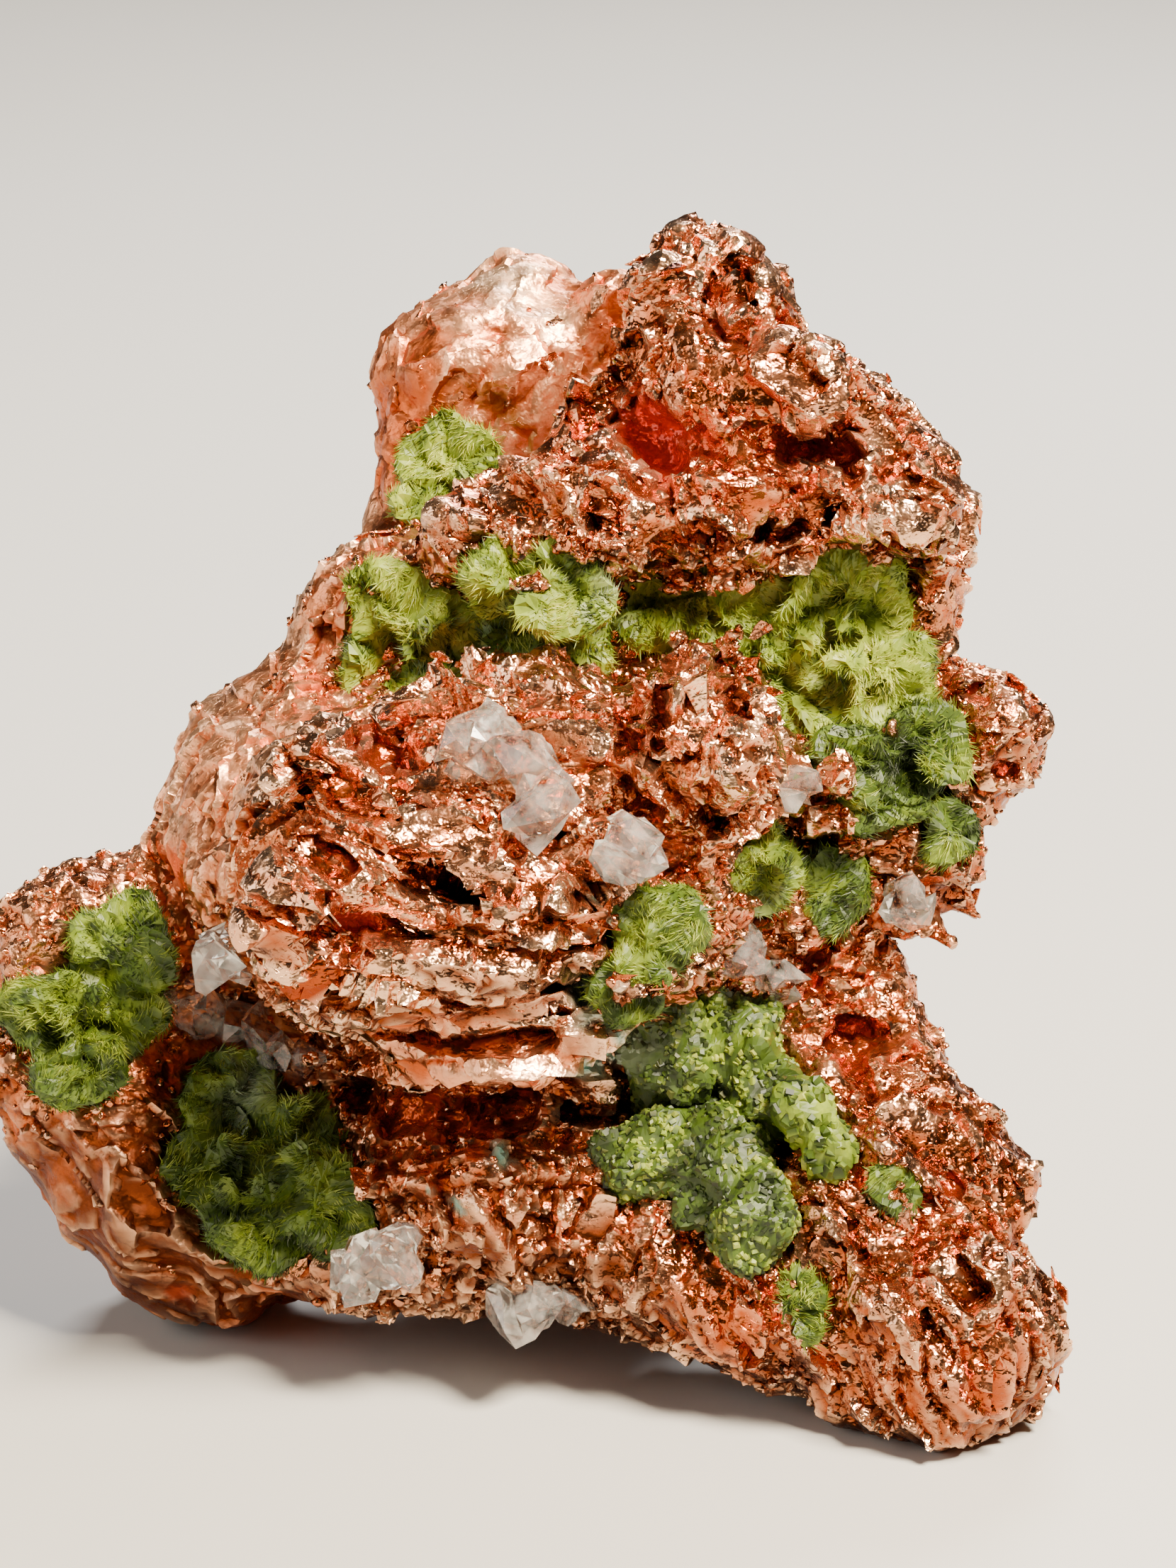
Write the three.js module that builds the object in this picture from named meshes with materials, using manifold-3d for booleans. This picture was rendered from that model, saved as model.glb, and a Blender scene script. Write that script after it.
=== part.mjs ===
// Native copper from a basalt lode, with epidote and quartz still set in it.
// The copper is one lump of metal that filled a cavity: a foiled hump in the middle, a pitted
// crown, a lobe behind it, and lobes to the left and right that it stands on. The green epidote
// and the clear quartz are masses of their own, each in a pocket of the metal.
//
// Millimetres. Every piece is laid out in the face frame, the plane of the specimen's show face:
// u to the right, v up the face, w out of the face. The whole leans back on three feet, so the
// exported group turns the face frame by LEAN and stands it on z = 0.
import * as THREE from "three";
import { mergeVertices } from "three/addons/utils/BufferGeometryUtils.js";
import { edgeTable, triTable } from "three/addons/objects/MarchingCubes.js";
import Module from "manifold-3d";

// Driving dimensions
const LEAN = THREE.MathUtils.degToRad(20); // how far the show face leans back from upright
const FLOOR = 2.1; // height of the resting plane above the face frame's origin, square to it
const GRID = 1.88; // edge of the sampling grid that the metal is faceted on
const FUSE = 0.9; // radius of the fillet where two lobes of metal run together
const CLEARANCE = 0.35; // gap between a mineral and whatever it grew against
const BASIN = 0.85; // the basin under a lump of mineral, as a share of the lump's radius
const PROUD = 0.05; // how far a lump's middle stands over the metal, as a share of its radius
const REACH = { u: [-23, 23], v: [-3, 48], w: [-16, 16] }; // the space that the metal lies in
const FLOOR_BLOCK = { width: 80, depth: 20 }; // the block that cuts the feet flat at the floor

// Swells of the metal's surface: how far apart they lie, how high they are, and where they start
const SWELLS = [
  { apart: 3.4, height: 0.75, start: [0, 0, 9] },
  { apart: 1.9, height: 0.4, start: [5, 0, 0] },
];

// Lobes of the metal: centre [u, v, w], radii and turn in the face plane, in degrees
const LOBES = [
  // core and upper body, behind the green band
  { at: [1.5, 21.5, -2.5], radii: [11.6, 10.5, 7.0], turn: 0 },
  { at: [6.3, 30.3, -2.4], radii: [8.6, 6.0, 5.2], turn: -12 },
  { at: [13.6, 31.2, -0.2], radii: [2.3, 5.4, 3.8], turn: 4 },
  // crown
  { at: [6.2, 43.0, 1.4], radii: [2.3, 2.0, 2.4], turn: 0 },
  { at: [6.6, 39.7, 2.2], radii: [3.3, 4.0, 4.2], turn: -12 },
  { at: [11.1, 37.0, 2.6], radii: [5.3, 3.4, 4.4], turn: -42 },
  { at: [4.6, 36.2, 2.6], radii: [6.3, 3.4, 4.6], turn: 42 },
  { at: [8.2, 34.2, 3.6], radii: [6.2, 1.6, 3.0], turn: -4 },
  { at: [-1.2, 33.8, 1.2], radii: [4.4, 1.9, 3.2], turn: 32 },
  { at: [15.3, 34.9, 0.6], radii: [1.5, 1.2, 1.6], turn: 0 },
  // lobe behind the crown
  { at: [-0.7, 40.1, -7.4], radii: [4.9, 4.7, 4.0], turn: -30 },
  { at: [-3.2, 36.8, -7.2], radii: [2.8, 5.4, 4.2], turn: 0 },
  { at: [0.4, 44.1, -7.4], radii: [1.7, 1.3, 1.7], turn: 0 },
  { at: [3.4, 42.6, -6.0], radii: [2.1, 1.8, 2.0], turn: 0 },
  // left shoulder and the outer slope of the hump
  { at: [-5.2, 31.2, -2.6], radii: [3.4, 3.4, 4.4], turn: 30 },
  { at: [-7.4, 29.4, -3.0], radii: [1.8, 1.8, 3.0], turn: 0 },
  { at: [-8.4, 25.9, -3.0], radii: [3.8, 3.4, 5.4], turn: 50 },
  { at: [-10.3, 22.8, -2.0], radii: [3.4, 5.2, 5.6], turn: 0 },
  // hump with its knob, its folds and its lower lip
  { at: [-3.6, 21.0, 3.8], radii: [7.8, 6.2, 7.0], turn: -12 },
  { at: [-1.2, 24.4, 4.4], radii: [7.2, 4.0, 5.6], turn: 12 },
  { at: [6.2, 25.6, 5.2], radii: [3.1, 4.0, 4.4], turn: 12 },
  { at: [2.6, 18.4, 4.6], radii: [5.6, 2.8, 5.2], turn: 24 },
  { at: [-6.2, 23.6, 9.0], radii: [3.6, 0.9, 1.8], turn: -24 },
  { at: [-4.4, 20.4, 10.6], radii: [4.4, 0.9, 1.6], turn: -16 },
  { at: [-1.8, 17.4, 10.0], radii: [5.0, 0.9, 1.8], turn: 6 },
  { at: [2.2, 21.6, 9.8], radii: [2.8, 0.9, 1.6], turn: 34 },
  { at: [-0.8, 14.9, 6.4], radii: [5.8, 1.0, 3.8], turn: 6 },
  // right lobe, and the metal that carries it
  { at: [12.2, 24.4, -0.8], radii: [4.6, 4.2, 4.4], turn: 0 },
  { at: [16.4, 26.4, 0.2], radii: [2.8, 2.9, 3.0], turn: 10 },
  { at: [14.7, 21.9, 0.0], radii: [2.5, 2.1, 2.6], turn: 0 },
  { at: [11.0, 17.6, -0.6], radii: [2.1, 3.4, 3.6], turn: 0 },
  { at: [11.7, 13.6, 0.8], radii: [3.4, 3.7, 4.0], turn: -30 },
  // left lobe and the long rim below it
  { at: [-16.4, 18.1, -2.8], radii: [4.2, 3.5, 3.8], turn: 8 },
  { at: [-16.8, 14.2, -2.8], radii: [3.8, 4.4, 3.8], turn: 0 },
  { at: [-11.6, 16.2, -5.4], radii: [3.2, 3.4, 2.8], turn: 0 },
  { at: [-15.0, 10.3, -3.0], radii: [3.4, 4.4, 4.2], turn: 30 },
  { at: [-12.2, 7.1, -5.4], radii: [3.6, 2.9, 4.8], turn: 14 },
  // floor of the lower left hollow, and the lower sheet between the feet
  { at: [-9.0, 10.6, -4.4], radii: [5.6, 5.0, 4.6], turn: -14 },
  { at: [-2.2, 10.6, 0.4], radii: [4.6, 4.8, 4.8], turn: 18 },
  { at: [-4.2, 7.8, -1.0], radii: [6.6, 3.3, 4.0], turn: -4 },
  { at: [3.0, 8.2, 0.2], radii: [6.4, 3.8, 4.4], turn: -8 },
  // right foot
  { at: [8.3, 6.3, 1.4], radii: [7.2, 3.5, 4.4], turn: -20 },
  { at: [13.1, 9.6, 1.6], radii: [5.0, 4.3, 4.4], turn: 14 },
  { at: [14.8, 4.4, 3.0], radii: [4.7, 4.4, 4.8], turn: 12 },
  { at: [16.7, 9.9, 1.6], radii: [2.5, 2.4, 2.4], turn: 0 },
  // back: the side that the show face hides, with the rear foot
  { at: [0.5, 17.5, -8.0], radii: [9.6, 8.4, 4.6], turn: -18 },
  { at: [6.8, 26.5, -7.2], radii: [5.6, 5.8, 3.8], turn: 20 },
  { at: [3.5, 9.8, -8.6], radii: [5.6, 4.4, 4.4], turn: -10 },
];

// Wire-like spurs of metal on the right edge: from, to, and the radius at each end
const SPUR_SIDES = 5;
const SPURS = [
  { from: [12.4, 21.0, 0.8], to: [15.9, 18.7, 1.2], radii: [1.5, 0.3] },
  { from: [13.4, 21.6, -0.4], to: [17.0, 19.6, 0.2], radii: [1.5, 0.4] },
  { from: [11.6, 17.2, 0.8], to: [13.9, 17.0, 1.0], radii: [1.3, 0.3] },
  { from: [12.0, 15.6, 1.0], to: [15.4, 14.9, 1.2], radii: [1.6, 0.4] },
  { from: [15.6, 4.6, 3.4], to: [18.6, 6.2, 2.8], radii: [2.0, 0.5] },
];

// Foils of metal: where each one springs from, its size, and its turn and lean in degrees
const FOIL_THICKNESS = 0.8;
const FOIL_SIDES = 6;
const FOIL_FLARE = 1.15; // a foil's foot, as a share of its top
const FOILS = [
  { at: [-6.6, 24.6], size: [4.8, 2.6], turn: -28, lean: 22 },
  { at: [-7.6, 20.4], size: [3.2, 4.4], turn: -14, lean: 14 },
  { at: [-3.2, 22.2], size: [5.4, 2.4], turn: -16, lean: 26 },
  { at: [-0.8, 19.4], size: [5.0, 2.6], turn: 8, lean: 24 },
  { at: [-4.6, 17.2], size: [5.2, 2.4], turn: -6, lean: 30 },
  { at: [1.8, 16.4], size: [4.8, 2.2], turn: 16, lean: 28 },
  { at: [6.2, 26.0], size: [3.4, 3.2], turn: -24, lean: 16 },
  { at: [9.8, 38.8], size: [3.8, 2.4], turn: -40, lean: 22 },
];

// Hollows in the metal that hold no mineral
const HOLLOWS = [
  { at: [4.5, 37.0, 7.0], radii: [1.8, 2.6, 3.4], turn: 20 }, // red pit in the crown
  { at: [10.7, 36.5, 6.9], radii: [2.0, 1.4, 2.8], turn: 0 },
  { at: [6.3, 43.2, 3.8], radii: [1.2, 0.8, 1.6], turn: 0 },
  { at: [-3.0, 12.6, 6.0], radii: [5.0, 1.4, 5.4], turn: 0 }, // slot under the lip
  { at: [2.8, 12.5, 5.4], radii: [3.0, 0.9, 3.6], turn: 0 },
  { at: [10.4, 17.6, 3.4], radii: [1.3, 1.5, 2.4], turn: 0 },
  { at: [11.9, 15.2, 5.0], radii: [1.8, 1.5, 3.0], turn: 10 },
  { at: [-4.8, 26.2, 9.4], radii: [1.8, 1.3, 2.4], turn: 0 },
  { at: [-10.2, 11.0, 3.6], radii: [4.0, 3.6, 3.6], turn: -30 }, // lower left hollow
  // creases between the lobes at the back
  { at: [-7.5, 21.0, -13.0], radii: [1.8, 6.5, 3.4], turn: 24 },
  { at: [2.2, 23.4, -13.2], radii: [6.0, 1.7, 3.0], turn: -14 },
  { at: [10.8, 15.5, -8.6], radii: [2.2, 4.6, 3.4], turn: 30 },
];

// Minerals: lumps that have grown together, each [u, v, radius, rise], where rise lifts it off the
// face of the metal. They sit on the show face unless side is -1, the back
const MINERALS = [
  {
    name: "epidote_upper_left",
    lumps: [
      [-5.1, 28.6, 1.9, 0.0],
      [-4.4, 30.9, 2.0, 0.0],
      [-3.2, 29.0, 1.6, 0.1],
    ],
  },
  {
    name: "epidote_upper_middle",
    lumps: [
      [-0.3, 32.2, 1.9, 0.0],
      [-0.4, 30.0, 1.6, 0.3],
      [1.3, 30.2, 1.9, 0.3],
      [1.6, 32.0, 1.5, 0.0],
    ],
  },
  {
    name: "epidote_band",
    lumps: [
      [4.8, 31.5, 1.7, 0.0],
      [7.0, 30.9, 2.0, 0.2],
      [9.4, 30.3, 2.2, 0.2],
      [11.9, 31.6, 2.3, 0.2],
      [10.6, 28.0, 2.2, 0.2],
      [12.8, 28.6, 2.0, 0.2],
      [8.9, 27.4, 1.4, 0.1],
    ],
  },
  {
    name: "epidote_right",
    lumps: [
      [12.2, 25.3, 1.8, 0.0],
      [14.0, 25.9, 1.7, 0.0],
      [12.4, 23.8, 1.3, 0.0],
    ],
  },
  { name: "epidote_middle", lumps: [[8.0, 21.9, 2.1, 0.2]] },
  { name: "epidote_small_ball", lumps: [[10.8, 20.7, 1.4, 0.2]] },
  {
    name: "epidote_pocket",
    lumps: [
      [4.5, 19.4, 1.5, 0.0],
      [3.9, 17.9, 1.4, 0.0],
    ],
  },
  {
    name: "epidote_cluster",
    lumps: [
      [5.0, 15.0, 1.9, 0.7],
      [7.2, 14.9, 2.0, 1.0],
      [8.4, 13.0, 1.7, 1.2],
      [6.0, 12.8, 2.2, 1.2],
      [7.0, 10.6, 2.0, 0.9],
      [4.8, 10.8, 1.7, 0.7],
      [7.9, 8.7, 1.8, 0.2],
    ],
  },
  {
    name: "epidote_crystals_by_cluster",
    lumps: [
      [10.1, 12.6, 1.1, 0.6],
      [11.3, 11.6, 1.0, 0.4],
    ],
  },
  {
    name: "epidote_left",
    lumps: [
      [-18.0, 16.2, 1.6, 0.0],
      [-15.8, 16.2, 1.9, 0.0],
      [-15.0, 18.6, 1.5, 0.0],
      [-16.6, 14.2, 1.5, 0.0],
    ],
  },
  {
    name: "epidote_lower_left",
    lumps: [
      [-11.3, 13.0, 1.7, 0.0],
      [-11.9, 10.4, 1.8, 0.0],
      [-9.5, 11.0, 2.2, 0.2],
      [-10.0, 8.4, 2.0, 0.0],
      [-7.4, 9.2, 2.0, 0.2],
    ],
  },
  {
    name: "epidote_far_lobe",
    lumps: [
      [-2.9, 36.7, 1.5, 0.0],
      [-3.5, 34.9, 1.3, 0.0],
    ],
  },
  { name: "epidote_right_edge", lumps: [[15.3, 22.5, 1.1, 0.0]] },
  { name: "epidote_foot_upper", lumps: [[13.3, 9.7, 1.1, 0.0]] },
  {
    name: "epidote_foot_lower",
    lumps: [
      [10.2, 6.4, 1.0, 0.0],
      [10.4, 5.1, 1.1, 0.0],
    ],
  },
  {
    name: "epidote_back",
    side: -1,
    lumps: [
      [2.0, 21.6, 2.0, 0.0],
      [4.6, 22.6, 1.9, 0.0],
      [-0.5, 20.9, 1.7, 0.0],
    ],
  },
  {
    name: "epidote_back_low",
    side: -1,
    lumps: [
      [-8.8, 13.0, 2.0, 0.0],
      [-6.6, 12.2, 1.7, 0.0],
    ],
  },
  {
    name: "quartz_brow",
    lumps: [
      [-1.7, 25.9, 1.7, 0.0],
      [-0.1, 25.2, 1.7, 0.0],
      [0.6, 23.6, 1.2, 0.1],
    ],
  },
  { name: "quartz_hump", lumps: [[3.8, 22.2, 1.2, 0.2]] },
  { name: "quartz_by_band", lumps: [[9.4, 24.6, 1.1, 0.0]] },
  {
    name: "quartz_under_ball",
    lumps: [
      [7.8, 18.6, 1.6, 0.1],
      [8.8, 17.5, 1.3, 0.1],
    ],
  },
  { name: "quartz_left_pocket", lumps: [[-10.6, 18.6, 1.2, 0.0]] },
  {
    name: "quartz_left_sheet",
    lumps: [
      [-12.4, 16.6, 1.4, 0.2],
      [-10.9, 15.5, 1.5, 0.2],
      [-9.0, 14.4, 1.4, 0.2],
    ],
  },
  {
    name: "quartz_low_left",
    lumps: [
      [-5.9, 6.9, 1.5, 0.0],
      [-4.6, 7.6, 1.3, 0.0],
    ],
  },
  {
    name: "quartz_low_middle",
    lumps: [
      [-0.4, 5.8, 1.3, 0.0],
      [1.0, 5.5, 1.3, 0.0],
    ],
  },
  { name: "quartz_right_edge", lumps: [[13.8, 20.6, 1.1, 0.0]] },
  {
    name: "quartz_back",
    side: -1,
    lumps: [
      [-2.6, 23.8, 1.6, 0.0],
      [-4.2, 24.6, 1.3, 0.0],
    ],
  },
];

// Habit of each mineral: how unevenly its faces lie, as a share of the lump's radius, how far its
// lumps are stretched, and its finish
const HABIT = {
  epidote: { rough: 0.4, stretch: [1.2, 0.95, 0.9], finish: { color: 0x5d7a26, roughness: 0.5 } },
  quartz: { rough: 0.28, stretch: [1.25, 1.0, 0.8], finish: { color: 0xc9c8c2, roughness: 0.2 } },
};
const COPPER_FINISH = { color: 0xc9805c, roughness: 0.32, metalness: 1 };

// How finely the shapes are worked out
const FACE_STEP = 0.25; // step of the search for the metal's face
const EDGE_MARGIN = 0.12; // a facet's corner stays this share of a grid edge away from its ends
const SLOPE_STEP = 0.05; // step that the slope of a distance is measured over
const LEAST_SLOPE = 0.2; // square of the least slope that a point is moved by
const LONGEST_MOVE = GRID / 3; // furthest that a point moves to the surface in one round
const EVEN_ROUNDS = 3; // rounds that even out the facets
const CORNER_ROUNDING = 0.02; // corners of a lump that are nearer than this count as one
const WELD = 1e-4; // points of a geometry that are nearer than this are one

const wasm = await Module();
wasm.setup();

// Repeatable scatter: a number from 0 to 1 for each whole-number point
function hash(x, y, z) {
  const n = Math.sin(x * 127.1 + y * 311.7 + z * 74.7) * 43758.5453;
  return n - Math.floor(n);
}

// Smooth noise from -1 to 1, with one lump for each unit of length
function noise(x, y, z) {
  const cell = [Math.floor(x), Math.floor(y), Math.floor(z)];
  const part = [x - cell[0], y - cell[1], z - cell[2]];
  const ease = part.map((t) => t * t * (3 - 2 * t));
  let sum = 0;
  for (let corner = 0; corner < 8; corner++) {
    const step = [corner & 1, (corner >> 1) & 1, (corner >> 2) & 1];
    const weight = step.reduce((w, s, k) => w * (s ? ease[k] : 1 - ease[k]), 1);
    sum += weight * hash(cell[0] + step[0], cell[1] + step[1], cell[2] + step[2]);
  }
  return 2 * sum - 1;
}

// Distance from p to an ellipsoid that is turned in the face plane
function toEllipsoid([u, v, w], { at, radii, turn }) {
  const a = THREE.MathUtils.degToRad(turn);
  const [du, dv, dw] = [u - at[0], v - at[1], w - at[2]];
  const x = (du * Math.cos(a) + dv * Math.sin(a)) / radii[0];
  const y = (dv * Math.cos(a) - du * Math.sin(a)) / radii[1];
  const z = dw / radii[2];
  const size = Math.hypot(x, y, z);
  const slope = Math.hypot(x / radii[0], y / radii[1], z / radii[2]);
  return slope > 1e-9 ? (size * (size - 1)) / slope : -Math.min(...radii);
}

// The lesser of two distances, with a fillet between them
function fuse(a, b, radius) {
  const h = Math.max(radius - Math.abs(a - b), 0) / radius;
  return Math.min(a, b) - (h * h * radius) / 4;
}

// Distance from p to the metal before any mineral took its place, negative inside
function toLode(p) {
  let d = Infinity;
  for (const lobe of LOBES) d = fuse(d, toEllipsoid(p, lobe), FUSE);
  for (const { apart, height, start } of SWELLS)
    d += height * noise(...p.map((x, k) => x / apart + start[k]));
  for (const hollow of HOLLOWS) d = -fuse(-d, toEllipsoid(p, hollow), FUSE / 2);
  return d;
}

// Depth w of the metal's face at (u, v), seen from the show side, or from the back for side -1
function faceDepth(u, v, side) {
  const [back, front] = REACH.w;
  let w = side > 0 ? front : back;
  while (toLode([u, v, w]) > 0 && w >= back && w <= front) w -= FACE_STEP * side;
  return w;
}

// Where the middle of a lump of mineral lies
function seatOf([u, v, radius, rise], side) {
  return [u, v, faceDepth(u, v, side) + (PROUD * radius + rise) * side];
}

// Basins in the metal, one round the seat of each lump of mineral
const BASINS = MINERALS.flatMap(({ lumps, side = 1 }) =>
  lumps.map((l) => ({ at: seatOf(l, side), radii: [1, 1, 1].map((x) => x * BASIN * l[2]), turn: 0 })),
);

// Distance from p to the metal with its basins, negative inside
function toMetal(p) {
  let d = toLode(p);
  for (const basin of BASINS) {
    const reach = basin.radii[0] + FUSE;
    if (Math.abs(p[0] - basin.at[0]) > reach || Math.abs(p[1] - basin.at[1]) > reach) continue;
    d = -fuse(-d, toEllipsoid(p, basin), FUSE / 2);
  }
  return d;
}

// Corners and edges of a grid cell, in the order that the marching cubes tables use
const CORNERS = [
  [0, 0, 0],
  [1, 0, 0],
  [1, 1, 0],
  [0, 1, 0],
  [0, 0, 1],
  [1, 0, 1],
  [1, 1, 1],
  [0, 1, 1],
];
const EDGES = [
  [0, 1],
  [1, 2],
  [2, 3],
  [3, 0],
  [4, 5],
  [5, 6],
  [6, 7],
  [7, 4],
  [0, 4],
  [1, 5],
  [2, 6],
  [3, 7],
];

// Faceted surface where a distance function is zero: { points, faces }
function polygonize(distance) {
  const low = [REACH.u[0], REACH.v[0], REACH.w[0]];
  const high = [REACH.u[1], REACH.v[1], REACH.w[1]];
  const count = low.map((x, k) => Math.ceil((high[k] - x) / GRID) + 1);
  const place = (i, j, k) => [low[0] + i * GRID, low[1] + j * GRID, low[2] + k * GRID];
  const index = (i, j, k) => (k * count[1] + j) * count[0] + i;
  const field = new Float64Array(count[0] * count[1] * count[2]);
  for (let k = 0; k < count[2]; k++)
    for (let j = 0; j < count[1]; j++)
      for (let i = 0; i < count[0]; i++) field[index(i, j, k)] = distance(place(i, j, k));

  const points = [];
  const faces = [];
  const made = new Map();
  const pointOn = (a, b) => {
    const [ia, ib] = [index(...a), index(...b)];
    const key = Math.min(ia, ib) * field.length + Math.max(ia, ib);
    if (!made.has(key)) {
      const crossing = field[ia] / (field[ia] - field[ib]);
      const t = THREE.MathUtils.clamp(crossing, EDGE_MARGIN, 1 - EDGE_MARGIN);
      const [pa, pb] = [place(...a), place(...b)];
      made.set(key, points.length);
      points.push(pa.map((x, n) => x + t * (pb[n] - x)));
    }
    return made.get(key);
  };
  for (let k = 0; k + 1 < count[2]; k++)
    for (let j = 0; j + 1 < count[1]; j++)
      for (let i = 0; i + 1 < count[0]; i++) {
        const corners = CORNERS.map(([x, y, z]) => [i + x, j + y, k + z]);
        const kind = corners.reduce((s, c, n) => s | (field[index(...c)] < 0 ? 1 << n : 0), 0);
        if (!edgeTable[kind]) continue;
        for (let n = kind * 16; triTable[n] >= 0; n += 3) {
          const face = [0, 1, 2].map((m) => {
            const [a, b] = EDGES[triTable[n + m]];
            return pointOn(corners[a], corners[b]);
          });
          faces.push(face);
        }
      }
  return { points, faces };
}

// Evens out the facets: each point moves towards its neighbours' middle, then back to the surface
function relax({ points, faces }, distance, rounds) {
  const near = points.map(() => new Set());
  for (const [a, b, c] of faces) {
    near[a].add(b).add(c);
    near[b].add(a).add(c);
    near[c].add(a).add(b);
  }
  const toSurface = (p) => {
    const d = distance(p);
    const beside = (k) => p.map((x, n) => (n === k ? x + SLOPE_STEP : x));
    const slope = [0, 1, 2].map((k) => (distance(beside(k)) - d) / SLOPE_STEP);
    const steep = slope.reduce((s, x) => s + x * x, 0);
    const step = d / Math.max(steep, LEAST_SLOPE);
    const move = THREE.MathUtils.clamp(step, -LONGEST_MOVE, LONGEST_MOVE);
    return p.map((x, k) => x - move * slope[k]);
  };
  let places = points;
  for (let round = 0; round < rounds; round++) {
    const middles = near.map((set, n) => {
      const sum = [0, 0, 0];
      for (const m of set) places[m].forEach((x, k) => (sum[k] += x / set.size));
      return sum.map((x, k) => (x + places[n][k]) / 2);
    });
    places = middles.map(toSurface);
  }
  return { points: places, faces };
}

// A manifold-3d solid from points and faces, turned to face out
function solidFrom({ points, faces }) {
  const build = (order) =>
    new wasm.Manifold(
      new wasm.Mesh({
        numProp: 3,
        vertProperties: new Float32Array(points.flat()),
        triVerts: new Uint32Array(faces.flatMap(order)),
      }),
    );
  const made = build((f) => f);
  return made.volume() > 0 ? made : build(([a, b, c]) => [a, c, b]);
}

// A three.js geometry as a manifold-3d solid
function solidOf(geometry) {
  const bare = geometry.index ? geometry.toNonIndexed() : geometry.clone();
  bare.deleteAttribute("normal");
  bare.deleteAttribute("uv");
  const merged = mergeVertices(bare, WELD);
  return new wasm.Manifold(
    new wasm.Mesh({
      numProp: 3,
      vertProperties: merged.attributes.position.array,
      triVerts: new Uint32Array(merged.index.array),
    }),
  );
}

// One lump of a mineral: a turned and stretched icosahedron with its corners pushed in and out
function lump(place, side, { rough, stretch }, grow) {
  const [u, v, radius] = place;
  const ball = new THREE.IcosahedronGeometry(1, 0);
  const turn = new THREE.Euler(...[1, 2, 3].map((k) => 2 * Math.PI * hash(u, v, k)));
  const at = ball.attributes.position;
  const seat = new THREE.Vector3(...seatOf(place, side));
  const p = new THREE.Vector3();
  for (let n = 0; n < at.count; n++) {
    p.fromBufferAttribute(at, n);
    const corner = [p.x + u, p.y + v, p.z + side].map((x) => Math.round(x / CORNER_ROUNDING));
    const push = 1 + rough * (hash(...corner) - 0.5);
    p.set(p.x * stretch[0], p.y * stretch[1], p.z * stretch[2]).applyEuler(turn);
    p.multiplyScalar(radius * push + grow).add(seat);
    at.setXYZ(n, p.x, p.y, p.z);
  }
  return solidOf(ball);
}

// The habit of a mass of mineral, from the first word of its name
function habitOf(name) {
  return HABIT[name.split("_")[0]];
}

// A mass of mineral: its lumps, joined
function massOf({ name, lumps, side = 1 }, grow = 0) {
  return lumps.map((l) => lump(l, side, habitOf(name), grow)).reduce((whole, next) => whole.add(next));
}

// A spur, as a tapered rod
function spurOf({ from, to, radii }, grow) {
  const axis = new THREE.Vector3(...to).sub(new THREE.Vector3(...from));
  const length = axis.length() + grow;
  const rod = new THREE.CylinderGeometry(radii[1] + grow, radii[0] + grow, length, SPUR_SIDES);
  rod.translate(0, axis.length() / 2, 0);
  const up = new THREE.Vector3(0, 1, 0);
  rod.applyQuaternion(new THREE.Quaternion().setFromUnitVectors(up, axis.normalize()));
  return solidOf(rod.translate(...from));
}

// A foil, as a flat plate that leans out of the face
function foilOf({ at: [u, v], size, turn, lean }, grow) {
  const plate = new THREE.CylinderGeometry(1, FOIL_FLARE, FOIL_THICKNESS + 2 * grow, FOIL_SIDES);
  plate.rotateX(Math.PI / 2).scale(size[0] / 2 + grow, size[1] / 2 + grow, 1);
  plate.rotateX(THREE.MathUtils.degToRad(lean)).rotateZ(THREE.MathUtils.degToRad(turn));
  return solidOf(plate.translate(u, v, faceDepth(u, v, 1)));
}

// All spurs and foils, joined to a body of metal
function withShoots(body, grow) {
  const shoots = [...SPURS.map((s) => spurOf(s, grow)), ...FOILS.map((f) => foilOf(f, grow))];
  return shoots.reduce((whole, shoot) => whole.add(shoot), body);
}

// The resting plane, as a block under it in the face frame
function underFloor() {
  const { width, depth } = FLOOR_BLOCK;
  const block = new THREE.BoxGeometry(width, width, depth);
  block.translate(0, 0, FLOOR - depth / 2);
  block.rotateX(LEAN);
  return solidOf(toFace(block));
}

// Face frame (u, v, w) to the drawing axes (x right, y back, z up), and back
function toDrawing(geometry) {
  return geometry.applyMatrix4(new THREE.Matrix4().set(1, 0, 0, 0, 0, 0, -1, 0, 0, 1, 0, 0, 0, 0, 0, 1));
}

function toFace(geometry) {
  return geometry.applyMatrix4(new THREE.Matrix4().set(1, 0, 0, 0, 0, 0, 1, 0, 0, -1, 0, 0, 0, 0, 0, 1));
}

// A solid as a named mesh, on the drawing axes
function meshOf(name, solid, finish) {
  const { vertProperties, triVerts, numProp } = solid.getMesh();
  const positions = new Float32Array((vertProperties.length / numProp) * 3);
  for (let n = 0; n < positions.length / 3; n++)
    positions.set(vertProperties.subarray(n * numProp, n * numProp + 3), n * 3);
  const geometry = new THREE.BufferGeometry();
  geometry.setAttribute("position", new THREE.BufferAttribute(positions, 3));
  geometry.setIndex(new THREE.BufferAttribute(triVerts, 1));
  const mesh = new THREE.Mesh(toDrawing(geometry), new THREE.MeshStandardMaterial(finish));
  mesh.name = name;
  return mesh;
}

// The biggest of a solid's separate bodies, so that no crumb is left by a cut
function largest(solid) {
  return solid.decompose().reduce((a, b) => (b.volume() > a.volume() ? b : a));
}

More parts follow.
